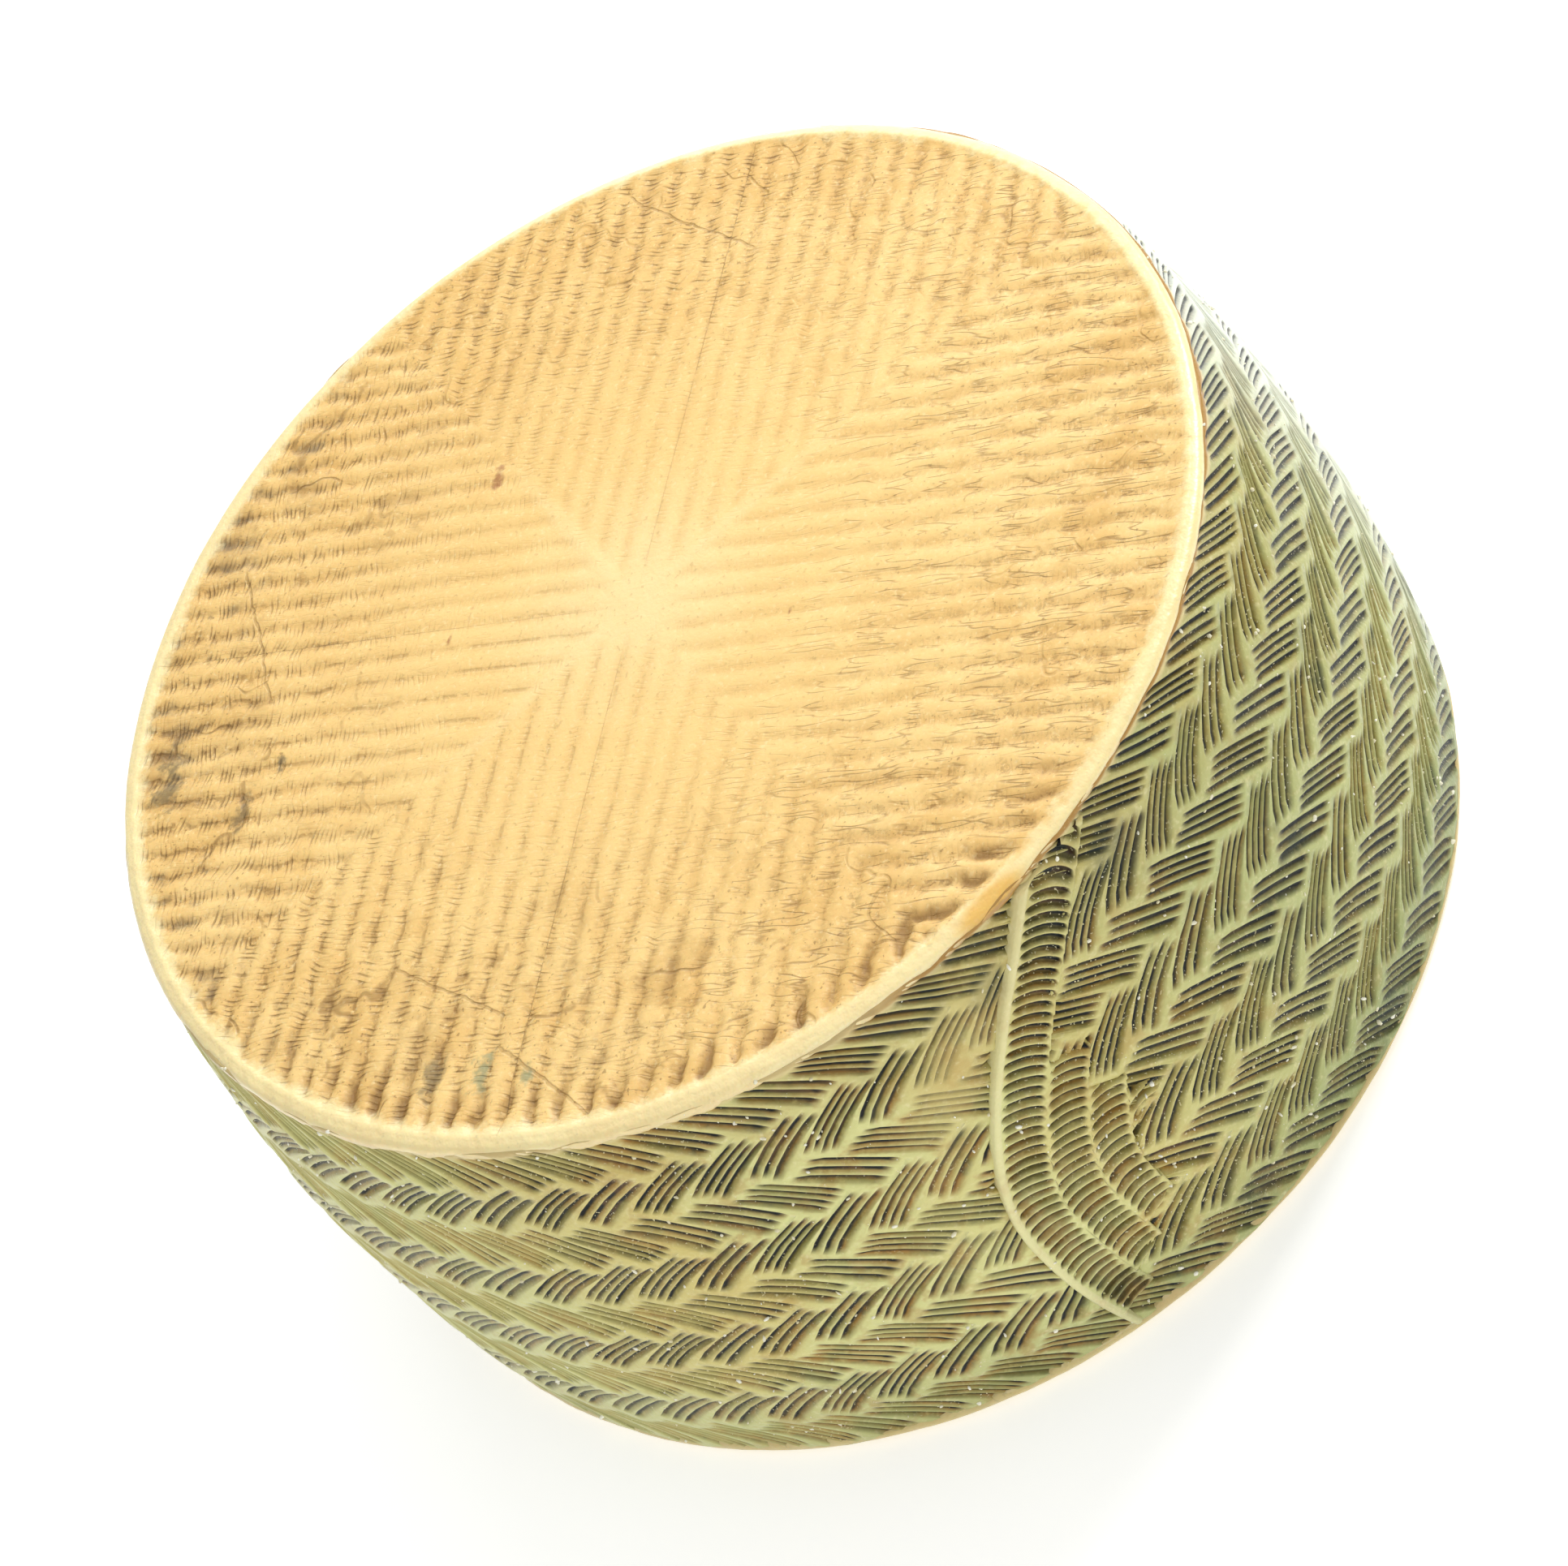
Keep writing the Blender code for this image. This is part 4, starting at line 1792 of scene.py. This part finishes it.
@dataclass
class Flecks:
    """Dry crumbs scattered in clumps over the side."""

    finish: FleckFinish
    seed: int = 11
    density: float = 400000.0  # for each square metre
    smallest: float = 0.06 * MM
    largest: float = 0.46 * MM
    wall: float = 88.5 * MM  # from the wheel's axis, inside which nothing shows

    def build(self, grounds: list[bpy.types.Object]) -> bpy.types.Object:
        """Scatters the crumbs.

        Args:
            grounds: the pieces that they lie on.

        Returns:
            The crumbs, as one piece.
        """
        points, faces, shift = [], [], 0
        for ground in grounds:
            mesh = ground.data
            place = np.empty(len(mesh.vertices) * 3, np.float32)
            mesh.vertices.foreach_get("co", place)
            points.append(place.reshape(-1, 3))
            faces += [[index + shift for index in face.vertices] for face in mesh.polygons]
            shift += len(mesh.vertices)
        blank = blank_object("curd_flecks", np.concatenate(points), faces)
        self.tree().apply(blank, self.finish.material(), Seed=self.seed, Density=self.density)
        return blank

    def tree(self) -> PressTree:
        """The tree that scatters the crumbs.

        Returns:
            The tree.
        """
        press = PressTree("scatter_flecks")
        graph = press.graph
        seed = press.number("Seed", self.seed)
        density = press.number("Density", self.density)
        place = graph.position()
        x, y, z = graph.split(place)
        outside = graph.step(graph.maths("SQRT", x * x + y * y), self.wall - 1.0 * MM, self.wall)
        off_floor = graph.step(z, 0.0015, 0.004)
        clumps = graph.step(graph.noise(place, 60.0, detail=4.0, rough=0.7), 0.46, 0.70)
        crowd = density * outside * off_floor * (clumps + 0.08)
        ground = {"Mesh": press.given(), "Density": crowd, "Seed": seed}
        spread = graph.node("GeometryNodeDistributePointsOnFaces", distribute_method="RANDOM")
        graph.fill(spread, ground)
        ball = graph.node("GeometryNodeMeshIcoSphere", {"Radius": 1.0, "Subdivisions": 1})
        chance = graph.node("FunctionNodeRandomValue", {"Seed": seed + 3.0}, data_type="FLOAT_VECTOR")
        rare, long, flat = graph.split(graph.term(chance, "Value"))
        size = rare ** 7.0 * (self.largest - self.smallest) + self.smallest
        shape = graph.vector(size, size * (long * 1.3 + 0.6), size * (flat * 0.5 + 0.35))
        any_way = {1: (math.tau,) * 3, "Seed": seed}
        turn = graph.node("FunctionNodeRandomValue", any_way, data_type="FLOAT_VECTOR")
        crumbs = {
            "Points": graph.term(spread, "Points"),
            "Instance": graph.term(ball, "Mesh"),
            "Rotation": graph.term(turn, "Value"),
            "Scale": shape,
        }
        copies = graph.node("GeometryNodeInstanceOnPoints", crumbs)
        press.close(graph.term(copies))
        return press


# ----------------------------------------------------------------------------------- the studio


WARM_WHITE = (1.0, 0.985, 0.96)
COOL_WHITE = (0.93, 0.97, 1.0)


@dataclass(frozen=True)
class Softbox:
    """One square light that faces the wheel."""

    name: str
    place: tuple[float, float, float]
    size: float
    power: float
    tint: tuple[float, float, float] = WARM_WHITE

    def hang(self, target: Vector) -> None:
        """Hangs the light so that it faces the target.

        Args:
            target: the point that it faces.
        """
        data = bpy.data.lights.new(self.name, "AREA")
        data.shape = "SQUARE"
        data.size = self.size
        data.energy = self.power
        data.color = self.tint
        made = add_object(self.name, data)
        made.location = self.place
        made.rotation_euler = (target - Vector(self.place)).to_track_quat("-Z", "Y").to_euler()


@dataclass
class Studio:
    """A white table under soft light, with the camera looking down on the wheel."""

    form: WheelForm
    elevation: float = 45.5
    roll: float = 41.3
    lens: float = 102.5
    away: float = 7.30  # the camera's distance from its aim, in upper rim radii
    aim: tuple[float, float, float] = (-0.008, -0.271, -0.267)  # from the upper face's middle, in the same
    table_radius: float = 4.0
    table_glow: float = 0.40  # light that the table gives back from below
    room_glow: float = 0.42
    lights: tuple[Softbox, ...] = (
        Softbox("key", (0.75, 0.35, 0.80), 0.35, 8.5),
        Softbox("overhead", (-0.1, 0.15, 1.1), 1.0, 2.0),
        Softbox("back", (0.45, 1.0, 0.45), 0.8, 4.0, COOL_WHITE),
        Softbox("front", (-0.3, -1.1, 0.75), 0.7, 4.5),
    )

    def camera(self) -> None:
        """Sets up the camera."""
        rise, roll = math.radians(self.elevation), math.radians(self.roll)
        back = Vector((0.0, -math.cos(rise), math.sin(rise)))
        level = Vector((1.0, 0.0, 0.0))
        above = Vector((0.0, math.sin(rise), math.cos(rise)))
        right = level * math.cos(roll) - above * math.sin(roll)
        up = above * math.cos(roll) + level * math.sin(roll)
        rim = self.form.top_rim
        aim = Vector((0, 0, self.form.height)) + Vector(self.aim) * rim
        data = bpy.data.cameras.new("studio_camera")
        data.lens = self.lens
        data.sensor_width = 36.0
        data.clip_start = 0.02
        made = add_object("studio_camera", data)
        turn = Matrix((right, up, back)).transposed().to_4x4()
        made.matrix_world = Matrix.Translation(aim + back * self.away * rim) @ turn
        bpy.context.scene.camera = made

    def floor(self) -> None:
        """Lays the white table."""
        bm = bmesh.new()
        bmesh.ops.create_circle(bm, cap_ends=True, segments=96, radius=self.table_radius)
        mesh = bpy.data.meshes.new("table")
        bm.to_mesh(mesh)
        bm.free()
        table = add_object("table", mesh)
        material, graph, shader = new_material("table_white")
        white = (0.95, 0.955, 0.96, 1.0)
        glow = {"Emission Color": white, "Emission Strength": self.table_glow}
        graph.fill(shader, {"Base Color": white, "Roughness": 0.6} | glow)
        mesh.materials.append(material)

    def build(self) -> None:
        """Sets up the table, the lights, the surroundings and the camera."""
        self.floor()
        for light in self.lights:
            light.hang(Vector((0, 0, self.form.height / 2)))
        world = bpy.data.worlds.new("white_room")
        world.use_nodes = True
        around = world.node_tree.nodes["Background"]
        around.inputs["Color"].default_value = (0.97, 0.985, 1.0, 1.0)
        around.inputs["Strength"].default_value = self.room_glow
        bpy.context.scene.world = world
        bpy.context.scene.view_settings.view_transform = "Standard"
        self.camera()


def place_piece(piece: bpy.types.Object) -> None:
    """Tells the frame that a piece stands for the wheel, and reports it.

    Args:
        piece: the piece.
    """
    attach(piece, "root")
    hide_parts(NODE)
    log.info("%s: %d triangles", piece.name, count_triangles(piece))


def main() -> None:
    """Builds the wheel, piece by piece, and the studio round it."""
    logging.basicConfig(level=logging.INFO, format="%(name)s %(message)s")
    form = WheelForm.from_frame()
    plait, stitches = PlaitRule(), StitchRule()
    flower = FlowerRule(rim=form.top_rim - 2.0 * MM)
    rind = SideFinish(plait, stitches, form.height)
    skin = FaceFinish(flower, form)

    side = PlaitedSide(form, plait, rind).build()
    seam = BandSeam(form, stitches, rind).build()
    top = PressedFace(form, flower, Board.UPPER).build(skin)
    base_flower = FlowerRule(rim=form.base_rim - 2.0 * MM)
    base = PressedFace(form, base_flower, Board.LOWER, cells=192).build(FaceFinish(base_flower, form))
    flecks = Flecks(FleckFinish()).build([side, seam])
    for piece in (side, seam, top, base, flecks):
        place_piece(piece)
    Studio(form).build()


if __name__ == "__main__":
    main()
